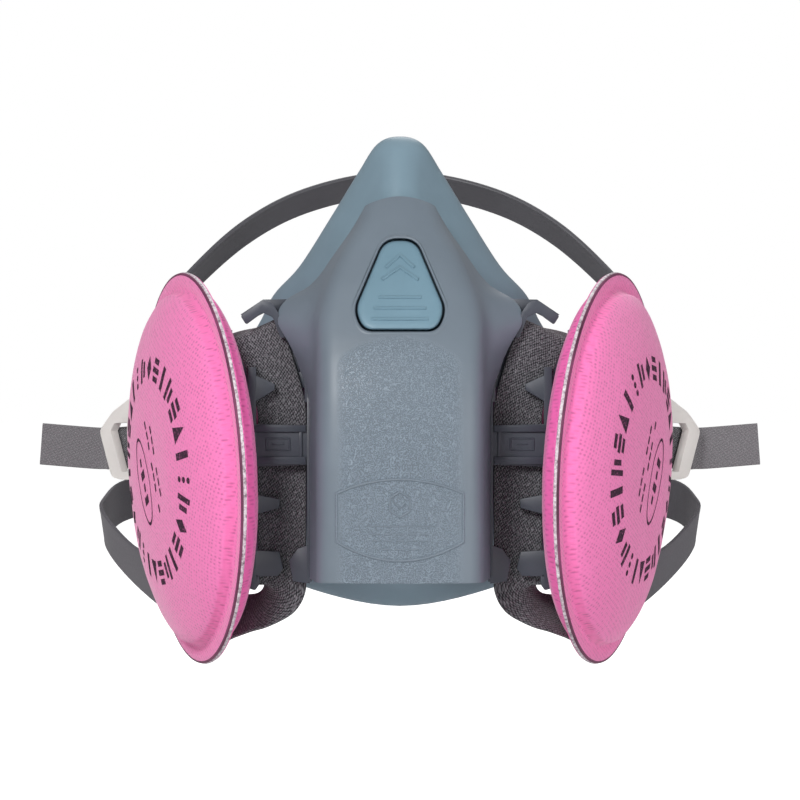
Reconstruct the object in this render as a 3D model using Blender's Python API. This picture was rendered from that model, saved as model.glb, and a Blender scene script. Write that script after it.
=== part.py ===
"""Half-face respirator with two round particulate filters and a drop-down head harness.

Units are metres, +Z is up, the front faces -Y and +X is to the right of someone looking at the front.
The origin is the centre of the face opening, in the plane where the wearer's mouth is.
Outlines are written in millimetres and scaled by MM when they become geometry.
"""

import math

import bmesh
import bpy
import numpy as np
from mathutils import Matrix, Vector
from mathutils.bvhtree import BVHTree

MM = 0.001
GAP = 0.3
ROUND_STEPS = 32
SHARP_ANGLE = math.radians(35)

# Face seal: silicone shell, and the ring that it grips round the exhalation valve.
SEAL_THICKNESS = 2.0
VALVE_CENTRE = Vector((0, -28, -18))
VALVE_RING_RADIUS = 19.0

# Exhalation valve, as radii and as heights above the valve ring's middle plane.
VALVE_BORE = 12.5
VALVE_LIP = 19.8
VALVE_LAND = 13.8
VALVE_FACE = 4.4
SPOKE_REACH = 13.1
EXHALATION_FLAP_RADIUS = 15.4
VALVE_STEPS = 40

# Front cover: moulded shell over the valve.
COVER_THICKNESS = 2.0
COVER_COLUMNS = 13
WINDOW_ROUNDING = 3.5
WINDOW_GAP = 0.6

# Filters: each disc's centre, the way that it faces, and its half height, half width and flange.
FILTER_CENTRE = Vector((55, -2, -18))
FILTER_FACING = Vector((0.94, -0.34, -0.05)).normalized()
FILTER_HALF_HEIGHT = 51.5
FILTER_HALF_WIDTH = 47.5
FLANGE = 3.2
FRONT_DOME = 11.5
BACK_DOME = 6.2
MEDIA = 1.8

# Ports: the seal's wall and the bayonet, as distances inwards from the filter's middle plane.
SEAL_WALL = 23.8
PORT_RADIUS = 12.0
PORT_BORE = 9.6
LUG_REACH = 14.4
PORT_FLANGE = 15.6
PORT_SEAT_FLAT = 19.0
PORT_SEAT_EDGE = 27.0
PORT_INNER_END = 31.0
PORT_OUTER_END = 11.5
PORT_FLANGE_SPAN = (20.0, 22.0)
RING_RADIUS = 15.2
CLAMP_RING_SPAN = (25.3, 27.4)
GASKET_SPAN = (18.3, 19.7)
INHALATION_FLAP_RADIUS = 11.4

# Filter discs: the hole for the port, and the plate and sleeve inside it.
FILTER_HOLE = 13.4
SPACER_RADIUS = 38.0
CONNECTOR_RADIUS = 20.0
SLEEVE_OUTER = 16.6
SLEEVE_INNER = 14.9
SLEEVE_END = 17.8
PAD_STEPS = 30

# Webbing of the harness.
STRAP_WIDTH = 12.6
STRAP_THICKNESS = 1.2
STRAP_PLANE = -17.5
STRAP_CENTRE = 30.6
LOWER_FOLD = Vector((0, STRAP_PLANE, -46.7))
UPPER_FOLD = Vector((0, -14.5, 15.1))
FOLD_BAR_RADIUS = 1.5

# Head cradle.
BAND_WIDTH = 10.0
BAND_THICKNESS = 1.6
BUCKLE_CENTRE = Vector((83.6, 101, -14.2))
BUCKLE_ALONG = Vector((0.62, 0.78, -0.05)).normalized()
BUCKLE_HALF_DEPTH = 1.25
BUCKLE_SLOT_HALF = 7.3
CRADLE_PIN = Vector((74.9, 92.5, 2.2))
PIN_RADIUS = 1.3
PIN_SPAN = (69.6, 78.9)
BUCKLE_HOLE = 1.35
BAND_HOLE = 1.6

# Neck clasp.
CLASP_CENTRE = Vector((0, 183.4, -27))
CLASP_PIVOT_X = -18.5
CLASP_REACH = 19.8
CLASP_HALF_HEIGHT = 9.0
CLASP_HALF_DEPTH = 1.2
CLASP_SLOT = (13.4, 16.8)
CLASP_SLOT_HALF = 6.9

SIDES = {"left": -1, "right": 1}


# ---------------------------------------------------------------- tools


def clear_scene():
    for item in list(bpy.data.objects):
        bpy.data.objects.remove(item, do_unlink=True)


def make_material(name, colour, roughness, metallic=0.0):
    found = bpy.data.materials.get(name)
    if found:
        return found
    made = bpy.data.materials.new(name)
    made.use_nodes = True
    shader = made.node_tree.nodes["Principled BSDF"]
    shader.inputs["Base Color"].default_value = (*colour, 1.0)
    shader.inputs["Roughness"].default_value = roughness
    shader.inputs["Metallic"].default_value = metallic
    return made


PALETTE = {
    "seal_silicone": ((0.19, 0.27, 0.34), 0.5),
    "cover_plastic": ((0.19, 0.23, 0.28), 0.55),
    "guide_plastic": ((0.06, 0.065, 0.085), 0.5),
    "port_plastic": ((0.10, 0.12, 0.15), 0.5),
    "valve_silicone": ((0.62, 0.6, 0.52), 0.45),
    "gasket_rubber": ((0.02, 0.02, 0.022), 0.7),
    "filter_media": ((0.86, 0.19, 0.47), 0.95),
    "spacer_plastic": ((0.7, 0.7, 0.68), 0.6),
    "connector_plastic": ((0.78, 0.1, 0.38), 0.5),
    "webbing": ((0.09, 0.085, 0.095), 0.95),
    "band_plastic": ((0.1, 0.1, 0.115), 0.5),
    "buckle_plastic": ((0.8, 0.74, 0.7), 0.35),
    "clasp_plastic": ((0.05, 0.05, 0.06), 0.4),
}


def material(slot):
    colour, roughness = PALETTE[slot]
    return make_material(slot, colour, roughness)


def finish(name, bm, slot, origin=(0, 0, 0), frame=None):
    """Make the object: the mesh is in millimetres about origin, or in the frame's own axes."""
    bmesh.ops.recalc_face_normals(bm, faces=bm.faces)
    origin = Vector(origin)
    for vert in bm.verts:
        vert.co = (vert.co - origin) * MM
    mesh = bpy.data.meshes.new(name)
    bm.to_mesh(mesh)
    bm.free()
    mesh.shade_smooth()
    mesh.set_sharp_from_angle(angle=SHARP_ANGLE)
    item = bpy.data.objects.new(name, mesh)
    bpy.context.collection.objects.link(item)
    item.data.materials.append(material(slot))
    item.matrix_world = frame if frame is not None else Matrix.Translation(origin * MM)
    return item


def boolean(target, cutter, operation="DIFFERENCE"):
    """Cut or join, and leave the cutter as a hidden guide."""
    step = target.modifiers.new(cutter.name, "BOOLEAN")
    step.operation = operation
    step.object = cutter
    step.solver = "EXACT"
    cutter.hide_render = True
    cutter.display_type = "WIRE"


def smooth_step(x):
    x = min(max(x, 0.0), 1.0)
    return x * x * (3 - 2 * x)


def curve_through(points, spans):
    """A smooth curve through all the points, spans pieces to each interval."""
    points = [np.array(p, float) for p in points]
    ends = [2 * points[0] - points[1], *points, 2 * points[-1] - points[-2]]
    out = []
    for i in range(1, len(ends) - 2):
        a, b, c, d = ends[i - 1 : i + 3]
        for k in range(spans):
            t = k / spans
            out.append(
                0.5
                * (2 * b + (c - a) * t + (2 * a - 5 * b + 4 * c - d) * t**2 + (3 * b - a - 3 * c + d) * t**3)
            )
    out.append(points[-1])
    return out


def read_table(table, z):
    """Read one row of values at height z from a table sorted by falling height, with no kinks."""
    heights = [row[0] for row in table]
    rows = [np.array(row[1:], float) for row in table]
    z = min(max(z, heights[-1]), heights[0])
    i = max(k for k in range(len(heights) - 1) if heights[k] >= z)
    slopes = []
    for k in (i, i + 1):
        lo, hi = max(k - 1, 0), min(k + 1, len(rows) - 1)
        slopes.append((rows[hi] - rows[lo]) / (heights[hi] - heights[lo]))
    span = heights[i + 1] - heights[i]
    t = (z - heights[i]) / span
    return (
        (1 + 2 * t) * (1 - t) ** 2 * rows[i]
        + t * (1 - t) ** 2 * span * slopes[0]
        + t * t * (3 - 2 * t) * rows[i + 1]
        + t * t * (t - 1) * span * slopes[1]
    )


def skin(bm, rings, closed=False, caps=True, round_ring=True):
    """Skin a row of equal rings. An open row gets a cap at each end."""
    rows = [[bm.verts.new(p) for p in ring] for ring in rings]
    count = len(rows[0])
    following = rows[1:] + rows[:1] if closed else rows[1:]
    for a, b in zip(rows, following):
        for i in range(count if round_ring else count - 1):
            j = (i + 1) % count
            bm.faces.new((a[i], a[j], b[j], b[i]))
    if caps and not closed:
        bm.faces.new(rows[0])
        bm.faces.new(rows[-1])
    return rows


def block(bm, low, high, side=1):
    """A box between two corners; side -1 mirrors it to the left."""
    low, high = Vector(low), Vector(high)
    size = high - low
    middle = (low + high) / 2
    middle.x *= side
    place = Matrix.Translation(middle) @ Matrix.Diagonal((*size, 1))
    bmesh.ops.create_cube(bm, size=1, matrix=place)


def plate(bm, outline, y_low, y_high, side=1):
    """A flat plate: an outline in X and Z, extruded from y_low to y_high."""
    base = [bm.verts.new((side * x, y_low, z)) for x, z in outline]
    face = bm.faces.new(base)
    grown = bmesh.ops.extrude_face_region(bm, geom=[face])
    moved = [v for v in grown["geom"] if isinstance(v, bmesh.types.BMVert)]
    bmesh.ops.translate(bm, verts=moved, vec=(0, y_high - y_low, 0))


def rod(bm, start, end, radius, sides=12):
    start, end = Vector(start), Vector(end)
    along = end - start
    turn = along.to_track_quat("Z", "Y").to_matrix().to_4x4()
    place = Matrix.Translation((start + end) / 2) @ turn
    bmesh.ops.create_cone(
        bm, cap_ends=True, segments=sides, radius1=radius, radius2=radius, depth=along.length, matrix=place
    )


def turned(bm, profile, steps):
    """Turn a closed profile of (radius, height) pairs about the local Z axis."""
    ring = [bm.verts.new((r, 0, h)) for r, h in profile]
    edges = [bm.edges.new((a, b)) for a, b in zip(ring, ring[1:] + ring[:1])]
    bmesh.ops.spin(
        bm, geom=ring + edges, cent=(0, 0, 0), axis=(0, 0, 1), angle=2 * math.pi, steps=steps, use_merge=True
    )
    bmesh.ops.remove_doubles(bm, verts=bm.verts, dist=0.001)


def merge_parts(name, slot, builders, **where):
    """Join overlapping solids into one body. The first is the object and the rest are its guides."""
    base = None
    for number, build in enumerate(builders):
        bm = bmesh.new()
        build(bm)
        item = finish(name if number == 0 else f"{name}_join_{number}", bm, slot, **where)
        if base is None:
            base = item
        else:
            boolean(base, item, "UNION")
    return base


def ribbon_rings(stations, width, thickness, spans):
    """Cross-sections of a flat strap. Each station is (centre, direction across the strap)."""
    centres = [Vector(p) for p in curve_through([c for c, _ in stations], spans)]
    across = [Vector(p) for p in curve_through([w for _, w in stations], spans)]
    rings = []
    for i, centre in enumerate(centres):
        ahead = centres[min(i + 1, len(centres) - 1)]
        behind = centres[max(i - 1, 0)]
        along = (ahead - behind).normalized()
        wide = (across[i] - along * across[i].dot(along)).normalized() * width / 2
        deep = along.cross(wide).normalized() * thickness / 2
        rings.append([centre - wide - deep, centre + wide - deep, centre + wide + deep, centre - wide + deep])
    return rings


def mirror_stations(stations, side):
    flip = Vector((side, 1, 1))
    return [(Vector(c) * flip, Vector(w) * flip) for c, w in stations]


# ---------------------------------------------------------------- face seal

# Half outlines from the top of the nose to the middle of the chin, for x >= 0.
SEAL_FRONT = [
    (0, -19, 32), (3, -19, 31.5), (6, -18.5, 29), (9.5, -18, 25), (13, -18, 20), (16, -18, 14),
    (18.8, -17.5, 7), (20.6, -17, -4), (21, -16, -16), (20.6, -16, -28), (18, -15, -36), (10.5, -13, -40),
    (0, -12, -42),
]
SEAL_BODY = [
    (0, -6.5, 61), (3.4, -6, 59.3), (6.3, -5.3, 54), (9.6, -5.8, 45), (15, -7.5, 34.5), (19.6, -8, 25.5),
    (24.5, -6, 17), (29.5, -2, 3), (33, 5, -15), (32, 5, -28), (26, 3, -38), (14.5, 0, -45), (0, -2, -48),
]
SEAL_EDGE = [
    (0, 2, 69), (5.3, 2.6, 67.4), (10.2, 5, 60.3), (17.6, 9, 48.6), (26.2, 14, 35.6), (33.5, 20, 28),
    (38, 24.5, 19.8), (49, 32, 4), (54, 36.5, -15), (51, 33, -31), (41, 24, -42.5), (23, 12, -50),
    (0, 7, -54),
]
SEAL_LIP = [
    (0, 10, 60), (4, 10.5, 58.5), (6.5, 13, 53), (11.5, 17, 43), (18, 22, 31), (24, 27, 23.5),
    (28, 30, 16), (36, 37, 2), (40, 40.5, -14), (37, 37.5, -26), (28, 29, -34.5), (15, 20, -40), (0, 14, -44),
]


def seal_ring():
    """The front edge, a circle round the exhalation valve."""
    points = []
    for k in range(len(SEAL_FRONT)):
        angle = math.pi / 2 - math.pi * k / (len(SEAL_FRONT) - 1)
        points.append(
            (
                VALVE_RING_RADIUS * math.cos(angle),
                VALVE_CENTRE.y,
                VALVE_CENTRE.z + VALVE_RING_RADIUS * math.sin(angle),
            )
        )
    return points


def port_seat(point):
    """Pull a point near a port onto the flat seat that the port is clamped to."""
    side = 1 if point[0] > 0 else -1
    facing = np.array(FILTER_FACING) * (side, 1, 1)
    centre = np.array(FILTER_CENTRE) * (side, 1, 1)
    offset = point - centre
    depth = offset @ facing
    radius = np.linalg.norm(offset - depth * facing)
    pull = smooth_step((PORT_SEAT_EDGE - radius) / (PORT_SEAT_EDGE - PORT_SEAT_FLAT))
    return point + facing * pull * (-SEAL_WALL - depth)


def seal_surface(spans_along=3, spans_round=2):
    """Rows of the seal's middle surface from the valve ring, over the edge, to the lip."""
    loops = (seal_ring(), SEAL_FRONT, SEAL_BODY, SEAL_EDGE, SEAL_LIP)
    half_loops = [curve_through(loop, spans_round) for loop in loops]
    columns = []
    for k in range(len(half_loops[0])):
        columns.append(curve_through([loop[k] for loop in half_loops], spans_along))
    half = [[port_seat(column[row]) for column in columns] for row in range(len(columns[0]))]
    rows = []
    for row in half:
        other = [p * (-1, 1, 1) for p in row[1:-1]]
        rows.append([Vector(p) for p in row + other[::-1]])
    return rows


def make_face_seal():
    bm = bmesh.new()
    skin(bm, seal_surface(), caps=False)
    wall = BVHTree.FromBMesh(bm)
    seal = finish("face_seal", bm, "seal_silicone")
    shell = seal.modifiers.new("thickness", "SOLIDIFY")
    shell.thickness = SEAL_THICKNESS * MM
    shell.offset = 0
    shell.use_rim = True
    pad = make_window_pad(wall)
    boolean(seal, pad, "UNION")
    for name, side in SIDES.items():
        bm = bmesh.new()
        hole = PORT_RADIUS + GAP
        seat = PORT_FLANGE + GAP
        face = -PORT_FLANGE_SPAN[1] - GAP
        turned(bm, [(0, -40), (hole, -40), (hole, face), (seat, face), (seat, -12), (0, -12)], ROUND_STEPS)
        boolean(seal, finish(f"port_hole_{name}", bm, "seal_silicone", frame=port_frame(side)))
    return seal


# ---------------------------------------------------------------- front cover

# Height, depth of the centre line, girth where the corner starts, its length, wall angle, flare angle,
# and the furthest x and y that the shell reaches.
COVER_TABLE = [
    (53, -15.5, 3.0, 8, 62, 0, 7.8, -8.5),
    (46, -20.5, 5.5, 8, 72, 0, 11.6, -9.5),
    (38, -26, 9.8, 8, 72, 0, 17.0, -11.5),
    (30, -31, 13.0, 8, 68, -8, 23.0, -13),
    (25.5, -33.5, 14.3, 8, 66, -26, 30.0, -13.5),
    (20, -36.5, 15.0, 8.5, 68, -30, 31.5, -14),
    (15, -39, 15.0, 9, 72, -22, 28.8, -16),
    (9, -41.3, 15.0, 9.5, 77, -8, 26.2, -20),
    (0, -43.6, 15.0, 10, 82, 0, 24.8, -22),
    (-15, -45, 15.0, 10, 83, 0, 24.4, -22),
    (-46, -44.6, 15.0, 10, 83, 0, 24.4, -22),
]
WINDOW = [(-4.2, 41.6), (4.2, 41.6), (11.9, 22.9), (9.6, 17.3), (-9.6, 17.3), (-11.9, 22.9)]
CENTRE_TURN = math.radians(7)


def cover_section(z, step=0.25):
    """Half of the cover's outer section at height z: girth, x and y, from the centre line outwards."""
    front, corner, length, wall, flare, far_x, far_y = read_table(COVER_TABLE, z)
    girths = np.arange(0, 60, step)
    angles = []
    for s in girths:
        turn = CENTRE_TURN * min(s / corner, 1)
        turn += (math.radians(wall) - CENTRE_TURN) * smooth_step((s - corner) / length)
        turn += math.radians(flare) * smooth_step((s - corner - length) / 7)
        angles.append(turn)
    angles = np.array(angles)
    x = np.concatenate([[0], np.cumsum(np.cos(angles[:-1]) * step)])
    y = front + np.concatenate([[0], np.cumsum(np.sin(angles[:-1]) * step)])
    inside = (x <= far_x) & (y <= far_y)
    last = int(np.argmin(inside)) if not inside.all() else len(girths) - 1
    return girths[: last + 1], x[: last + 1], y[: last + 1]


def cover_row(height, across):
    """Points of one row: across runs from -1 at the left edge to 1 at the right edge."""
    row = []
    for u in across:
        z = height - 2.5 * u * u * smooth_step((height - 40) / 13)
        girths, x, y = cover_section(z)
        s = abs(u) * girths[-1]
        row.append(Vector((math.copysign(np.interp(s, girths, x), u), np.interp(s, girths, y), z)))
    return row


def cover_depth(x, z):
    """The y of the cover's outer face at x and z, on the front of the shell."""
    _, xs, ys = cover_section(z)
    return float(np.interp(abs(x), xs, ys))


def rounded(outline, radius, steps=4):
    """Round the corners of a closed outline."""
    out = []
    count = len(outline)
    for i, corner in enumerate(outline):
        corner = np.array(corner, float)
        back = np.array(outline[i - 1]) - corner
        ahead = np.array(outline[(i + 1) % count]) - corner
        cut = min(radius, 0.45 * np.linalg.norm(back), 0.45 * np.linalg.norm(ahead))
        start = corner + back / np.linalg.norm(back) * cut
        end = corner + ahead / np.linalg.norm(ahead) * cut
        for k in range(steps + 1):
            t = k / steps
            out.append(tuple((1 - t) ** 2 * start + 2 * t * (1 - t) * corner + t * t * end))
    return out


def scaled(outline, gap, middle=(0, 27)):
    """Shrink an outline by about gap towards its middle."""
    out = []
    for x, z in outline:
        away = Vector((x - middle[0], z - middle[1]))
        away *= (away.length - gap) / away.length
        out.append((middle[0] + away.x, middle[1] + away.y))
    return out


def make_front_cover():
    heights = [53, 50, 46, 41, 36, 31, 28, 25.5, 23, 19.5, 16, 12.5, 8, 2, -6, -46]
    columns = range(-COVER_COLUMNS, COVER_COLUMNS + 1)
    across = [math.copysign(abs(k / COVER_COLUMNS) ** 0.9, k) for k in columns]
    bm = bmesh.new()
    skin(bm, [cover_row(height, across) for height in heights], caps=False, round_ring=False)
    cover = finish("front_cover", bm, "cover_plastic")
    shell = cover.modifiers.new("thickness", "SOLIDIFY")
    shell.thickness = COVER_THICKNESS * MM
    shell.offset = -1
    shell.use_even_offset = True
    bm = bmesh.new()
    plate(bm, rounded(WINDOW, WINDOW_ROUNDING), -60, -12)
    boolean(cover, finish("window_cutter", bm, "cover_plastic"))
    return cover


def make_window_pad(wall):
    """The silicone pad that fills the cover's window. It stands on the seal's nose, whose wall is given."""
    outline = scaled(rounded(WINDOW, WINDOW_ROUNDING), WINDOW_GAP)
    rims = []
    for shrink, lift in ((0, 0.9), (0.8, 0.1), (3.5, -0.1)):
        ring = scaled(outline, shrink)
        rims.append([Vector((x, cover_depth(x, z) + lift, z)) for x, z in ring])
    back = []
    for x, z in scaled(outline, 0.5):
        hit = wall.ray_cast(Vector((x, -60, z)), Vector((0, 1, 0)))[0]
        back.append(hit + Vector((0, 0.35, 0)))
    bm = bmesh.new()
    skin(bm, [back, *rims])
    return finish("window_pad_join", bm, "seal_silicone")


# ---------------------------------------------------------------- valve


def valve_frame():
    """Local Z points out of the front of the mask, with the origin on the valve seat."""
    return Matrix.Translation(VALVE_CENTRE * MM) @ Matrix.Rotation(math.pi / 2, 4, "X")


def make_valve():
    neck = VALVE_RING_RADIUS - 3 * GAP - SEAL_THICKNESS / 2
    body = [
        (VALVE_BORE, -6), (neck, -6), (neck, 1.4), (VALVE_LIP, 1.4), (VALVE_LIP, 3.4), (VALVE_LAND, 3.4),
        (VALVE_LAND, VALVE_FACE), (VALVE_BORE, VALVE_FACE),
    ]

    def spoke(angle, lift):
        def build(bm):
            block(bm, (-1.0, -SPOKE_REACH, 1.4 + lift), (1.0, SPOKE_REACH, 3.2 - lift))
            bmesh.ops.rotate(bm, verts=bm.verts, cent=(0, 0, 0), matrix=Matrix.Rotation(angle, 3, "Z"))

        return build

    def hub(bm):
        turned(bm, [(0, 0.6), (2.6, 0.6), (2.6, 3.6), (1.2, 3.6), (1.2, 6.4), (0, 6.4)], 16)

    merge_parts(
        "valve_seat",
        "port_plastic",
        [lambda bm: turned(bm, body, VALVE_STEPS), spoke(0, 0), spoke(math.pi / 2, 0.1), hub],
        frame=valve_frame(),
    )
    bm = bmesh.new()
    low = VALVE_FACE + GAP
    rim = EXHALATION_FLAP_RADIUS
    turned(bm, [(1.6, low), (rim, low), (rim, low + 0.9), (1.6, low + 1.2)], VALVE_STEPS)
    finish("exhalation_flap", bm, "valve_silicone", frame=valve_frame())


# ---------------------------------------------------------------- ports and filters


def port_frame(side):
    """Local Z points out along the port, local Y points up, and the origin is the filter's centre."""
    flip = Vector((side, 1, 1))
    out = FILTER_FACING * flip
    up = (Vector((0, 0, 1)) - out * out.z).normalized()
    right = up.cross(out)
    turn = Matrix((right, up, out)).transposed().to_4x4()
    return Matrix.Translation(FILTER_CENTRE * flip * MM) @ turn


def lugs(reach, low, high, inner, first):
    """Three bayonet lugs, as blocks spaced round the port."""

    def lug(angle):
        def build(bm):
            block(bm, (inner, -3.2, low), (reach, 3.2, high))
            bmesh.ops.rotate(bm, verts=bm.verts, cent=(0, 0, 0), matrix=Matrix.Rotation(angle, 3, "Z"))

        return build

    return [lug(first + k * 2 * math.pi / 3) for k in range(3)]


def make_port(name, side):
    place = port_frame(side)
    near, far = PORT_FLANGE_SPAN
    tube = [
        (PORT_BORE, -PORT_INNER_END), (PORT_RADIUS, -PORT_INNER_END), (PORT_RADIUS, -far),
        (PORT_FLANGE, -far), (PORT_FLANGE, -near), (PORT_RADIUS, -near), (PORT_RADIUS, -PORT_OUTER_END),
        (PORT_BORE, -PORT_OUTER_END),
    ]

    def cross(angle, lift):
        def build(bm):
            block(bm, (-0.9, -10.8, -29.6 + lift), (0.9, 10.8, -28 - lift))
            bmesh.ops.rotate(bm, verts=bm.verts, cent=(0, 0, 0), matrix=Matrix.Rotation(angle, 3, "Z"))

        return build

    merge_parts(
        f"port_{name}",
        "port_plastic",
        [
            lambda bm: turned(bm, tube, ROUND_STEPS),
            *lugs(LUG_REACH, -14.6, -12.8, 11, 0),
            cross(0, 0),
            cross(math.pi / 2, 0.1),
        ],
        frame=place,
    )
    rings = {
        f"port_clamp_ring_{name}": ("port_plastic", CLAMP_RING_SPAN),
        f"port_gasket_{name}": ("gasket_rubber", GASKET_SPAN),
    }
    inner, outer = PORT_RADIUS + GAP, RING_RADIUS
    for part, (slot, (near, far)) in rings.items():
        bm = bmesh.new()
        turned(bm, [(inner, -far), (outer, -far), (outer, -near), (inner, -near)], ROUND_STEPS)
        finish(part, bm, slot, frame=place)
    bm = bmesh.new()
    seat, rim = -PORT_INNER_END - GAP, INHALATION_FLAP_RADIUS
    turned(bm, [(0, seat - 0.9), (rim, seat - 0.7), (rim, seat), (0, seat)], ROUND_STEPS)
    finish(f"inhalation_flap_{name}", bm, "valve_silicone", frame=place)


# Pad profiles: fraction of the half width, fraction of the dome's height.
FRONT_PROFILE = [(0.885, 0.32), (0.8, 0.55), (0.62, 0.82), (0.35, 1.0)]
BACK_PROFILE = [(0.9, 0.62), (0.83, 0.93), (0.7, 1.0), (0.45, 1.0)]


def dome_rings(profile, height, hole, steps=PAD_STEPS):
    """A dished pad with a flat welded flange: rings from its middle, inside, to the rim and back outside."""
    edge = 1 - FLANGE / FILTER_HALF_WIDTH
    centre = hole / FILTER_HALF_WIDTH
    thin, thick = GAP / 2, GAP / 2 + MEDIA
    outer = [(1.0, MEDIA / 2), (edge, MEDIA / 2)]
    outer += [(r, MEDIA / 2 + (height - MEDIA / 2) * h) for r, h in profile]
    outer.append((centre, height))
    inner = [(1.0, thin), (edge - 0.03, thin)]
    inner += [(r - 0.03, thin + (height - thick) * h) for r, h in profile]
    inner.append((centre, height - MEDIA))

    def ring(scale, lift):
        points = []
        for k in range(steps):
            angle = 2 * math.pi * k / steps
            even = scale <= centre + 1e-6
            wide = FILTER_HALF_WIDTH * scale
            tall = (FILTER_HALF_WIDTH if even else FILTER_HALF_HEIGHT) * scale
            points.append(Vector((wide * math.cos(angle), tall * math.sin(angle), lift)))
        return points

    return [ring(*pair) for pair in [*inner[::-1], *outer]]


def make_pad(name, profile, height, hole, place):
    """A pad that bulges along local Z by height, or backwards where height is negative."""
    rings = dome_rings(profile, abs(height), hole)
    if height < 0:
        rings = [[Vector((p.x, p.y, -p.z)) for p in ring] for ring in rings]
    bm = bmesh.new()
    skin(bm, rings, closed=hole > PORT_RADIUS)
    return finish(name, bm, "filter_media", frame=place)


def make_filter(name, side):
    place = port_frame(side)
    make_pad(f"filter_front_pad_{name}", FRONT_PROFILE, FRONT_DOME, 0.5, place)
    make_pad(f"filter_back_pad_{name}", BACK_PROFILE, -BACK_DOME, FILTER_HOLE, place)
    bm = bmesh.new()
    hole, rim = FILTER_HOLE, SPACER_RADIUS
    turned(bm, [(hole, -1.6), (rim, -1.6), (rim, -0.4), (hole, -0.4)], ROUND_STEPS)
    finish(f"filter_spacer_{name}", bm, "spacer_plastic", frame=place)
    sleeve = [
        (11.2, -5), (13, -5), (13, -6.9), (CONNECTOR_RADIUS, -6.9), (CONNECTOR_RADIUS, -8.6),
        (SLEEVE_OUTER, -8.6),
        (SLEEVE_OUTER, -SLEEVE_END), (SLEEVE_INNER, -SLEEVE_END), (SLEEVE_INNER, -8.6), (11.2, -8.6),
    ]
    merge_parts(
        f"filter_connector_{name}",
        "connector_plastic",
        [lambda bm: turned(bm, sleeve, ROUND_STEPS), *lugs(15.6, -16.8, -15.1, 12.6, 0)],
        frame=place,
    )


# ---------------------------------------------------------------- strap guides


def make_guide(name, side):
    """The moulded guide that the webbing runs through: top bar and tab, teeth, middle bar and split loop."""
    front, middle, back = STRAP_PLANE - 3.6, STRAP_PLANE - 1.0, STRAP_PLANE + 1.2
    rail = [(37.2, 8.5), (39.2, 8.5), (39.2, -47.2), (37.2, -47.2)]
    deep_rail = [(37.3, -5), (39.1, -5), (39.1, -47), (37.3, -47)]
    upper_tooth = [(38, 6.7), (32.4, 4.1), (32.4, 2.6), (38, -0.8)]
    lower_tooth = [(38, -24.3), (31, -25.6), (31.2, -27.9), (38, -29.7)]
    mid_bar = [(38, -6.2), (23.3, -6.6), (23.3, -16.8), (38, -17.2)]
    outer_finger = [(38, -38.8), (31.2, -39.2), (30.2, -43.5), (31.5, -45.4), (38, -45.6)]
    inner_finger = [(23.3, -37.4), (26.4, -38.4), (28.6, -41.5), (27.6, -46.8), (23.3, -47.4)]
    tab = [(41.4, 22.2), (35.6, 26.1), (28, 26.2), (27.2, 22.5), (30.6, 22.5), (34.2, 23.3), (39.5, 20.6)]
    builders = [
        lambda bm: plate(bm, rail, front, middle, side),
        lambda bm: plate(bm, deep_rail, middle - 0.5, back, side),
        lambda bm: plate(bm, upper_tooth, front + 0.2, middle - 0.2, side),
        lambda bm: plate(bm, lower_tooth, front + 0.2, middle - 0.2, side),
        lambda bm: plate(bm, mid_bar, front + 0.1, middle - 0.1, side),
        lambda bm: plate(bm, outer_finger, front + 0.2, middle - 0.2, side),
        lambda bm: plate(bm, inner_finger, front + 0.2, middle - 0.2, side),
        lambda bm: block(bm, (22.8, front - 0.3, -46.9), (24.0, -17.0, 0.5), side),
        lambda bm: block(bm, (22.7, -17.6, -45.2), (24.1, -13.9, -41.2), side),
        lambda bm: block(bm, (22.9, -16.2, -45), (38.8, -13.7, -41.4), side),
        lambda bm: block(bm, (22.9, -19.3, -0.5), (24.7, -15.3, 7.5), side),
        lambda bm: block(bm, (24.4, -16.2, 3.2), (28.6, -13.6, 7.3), side),
        lambda bm: block(bm, (26.2, -16.0, 5.0), (29.4, -12.8, 20.3), side),
        lambda bm: plate(bm, tab, -16.4, -13.6, side),
        lambda bm: block(bm, (27.4, -16.3, 16), (30.2, -13.1, 24), side),
        lambda bm: rod(bm, (side * 43.9, -14.5, 12.2), (side * 28.6, -14.5, 19.0), FOLD_BAR_RADIUS),
        lambda bm: block(bm, (43.68, -16.6, 10.35), (44.45, -13.83, 18.2), side),
    ]
    return merge_parts(f"strap_guide_{name}", "guide_plastic", builders)


# ---------------------------------------------------------------- webbing

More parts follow.
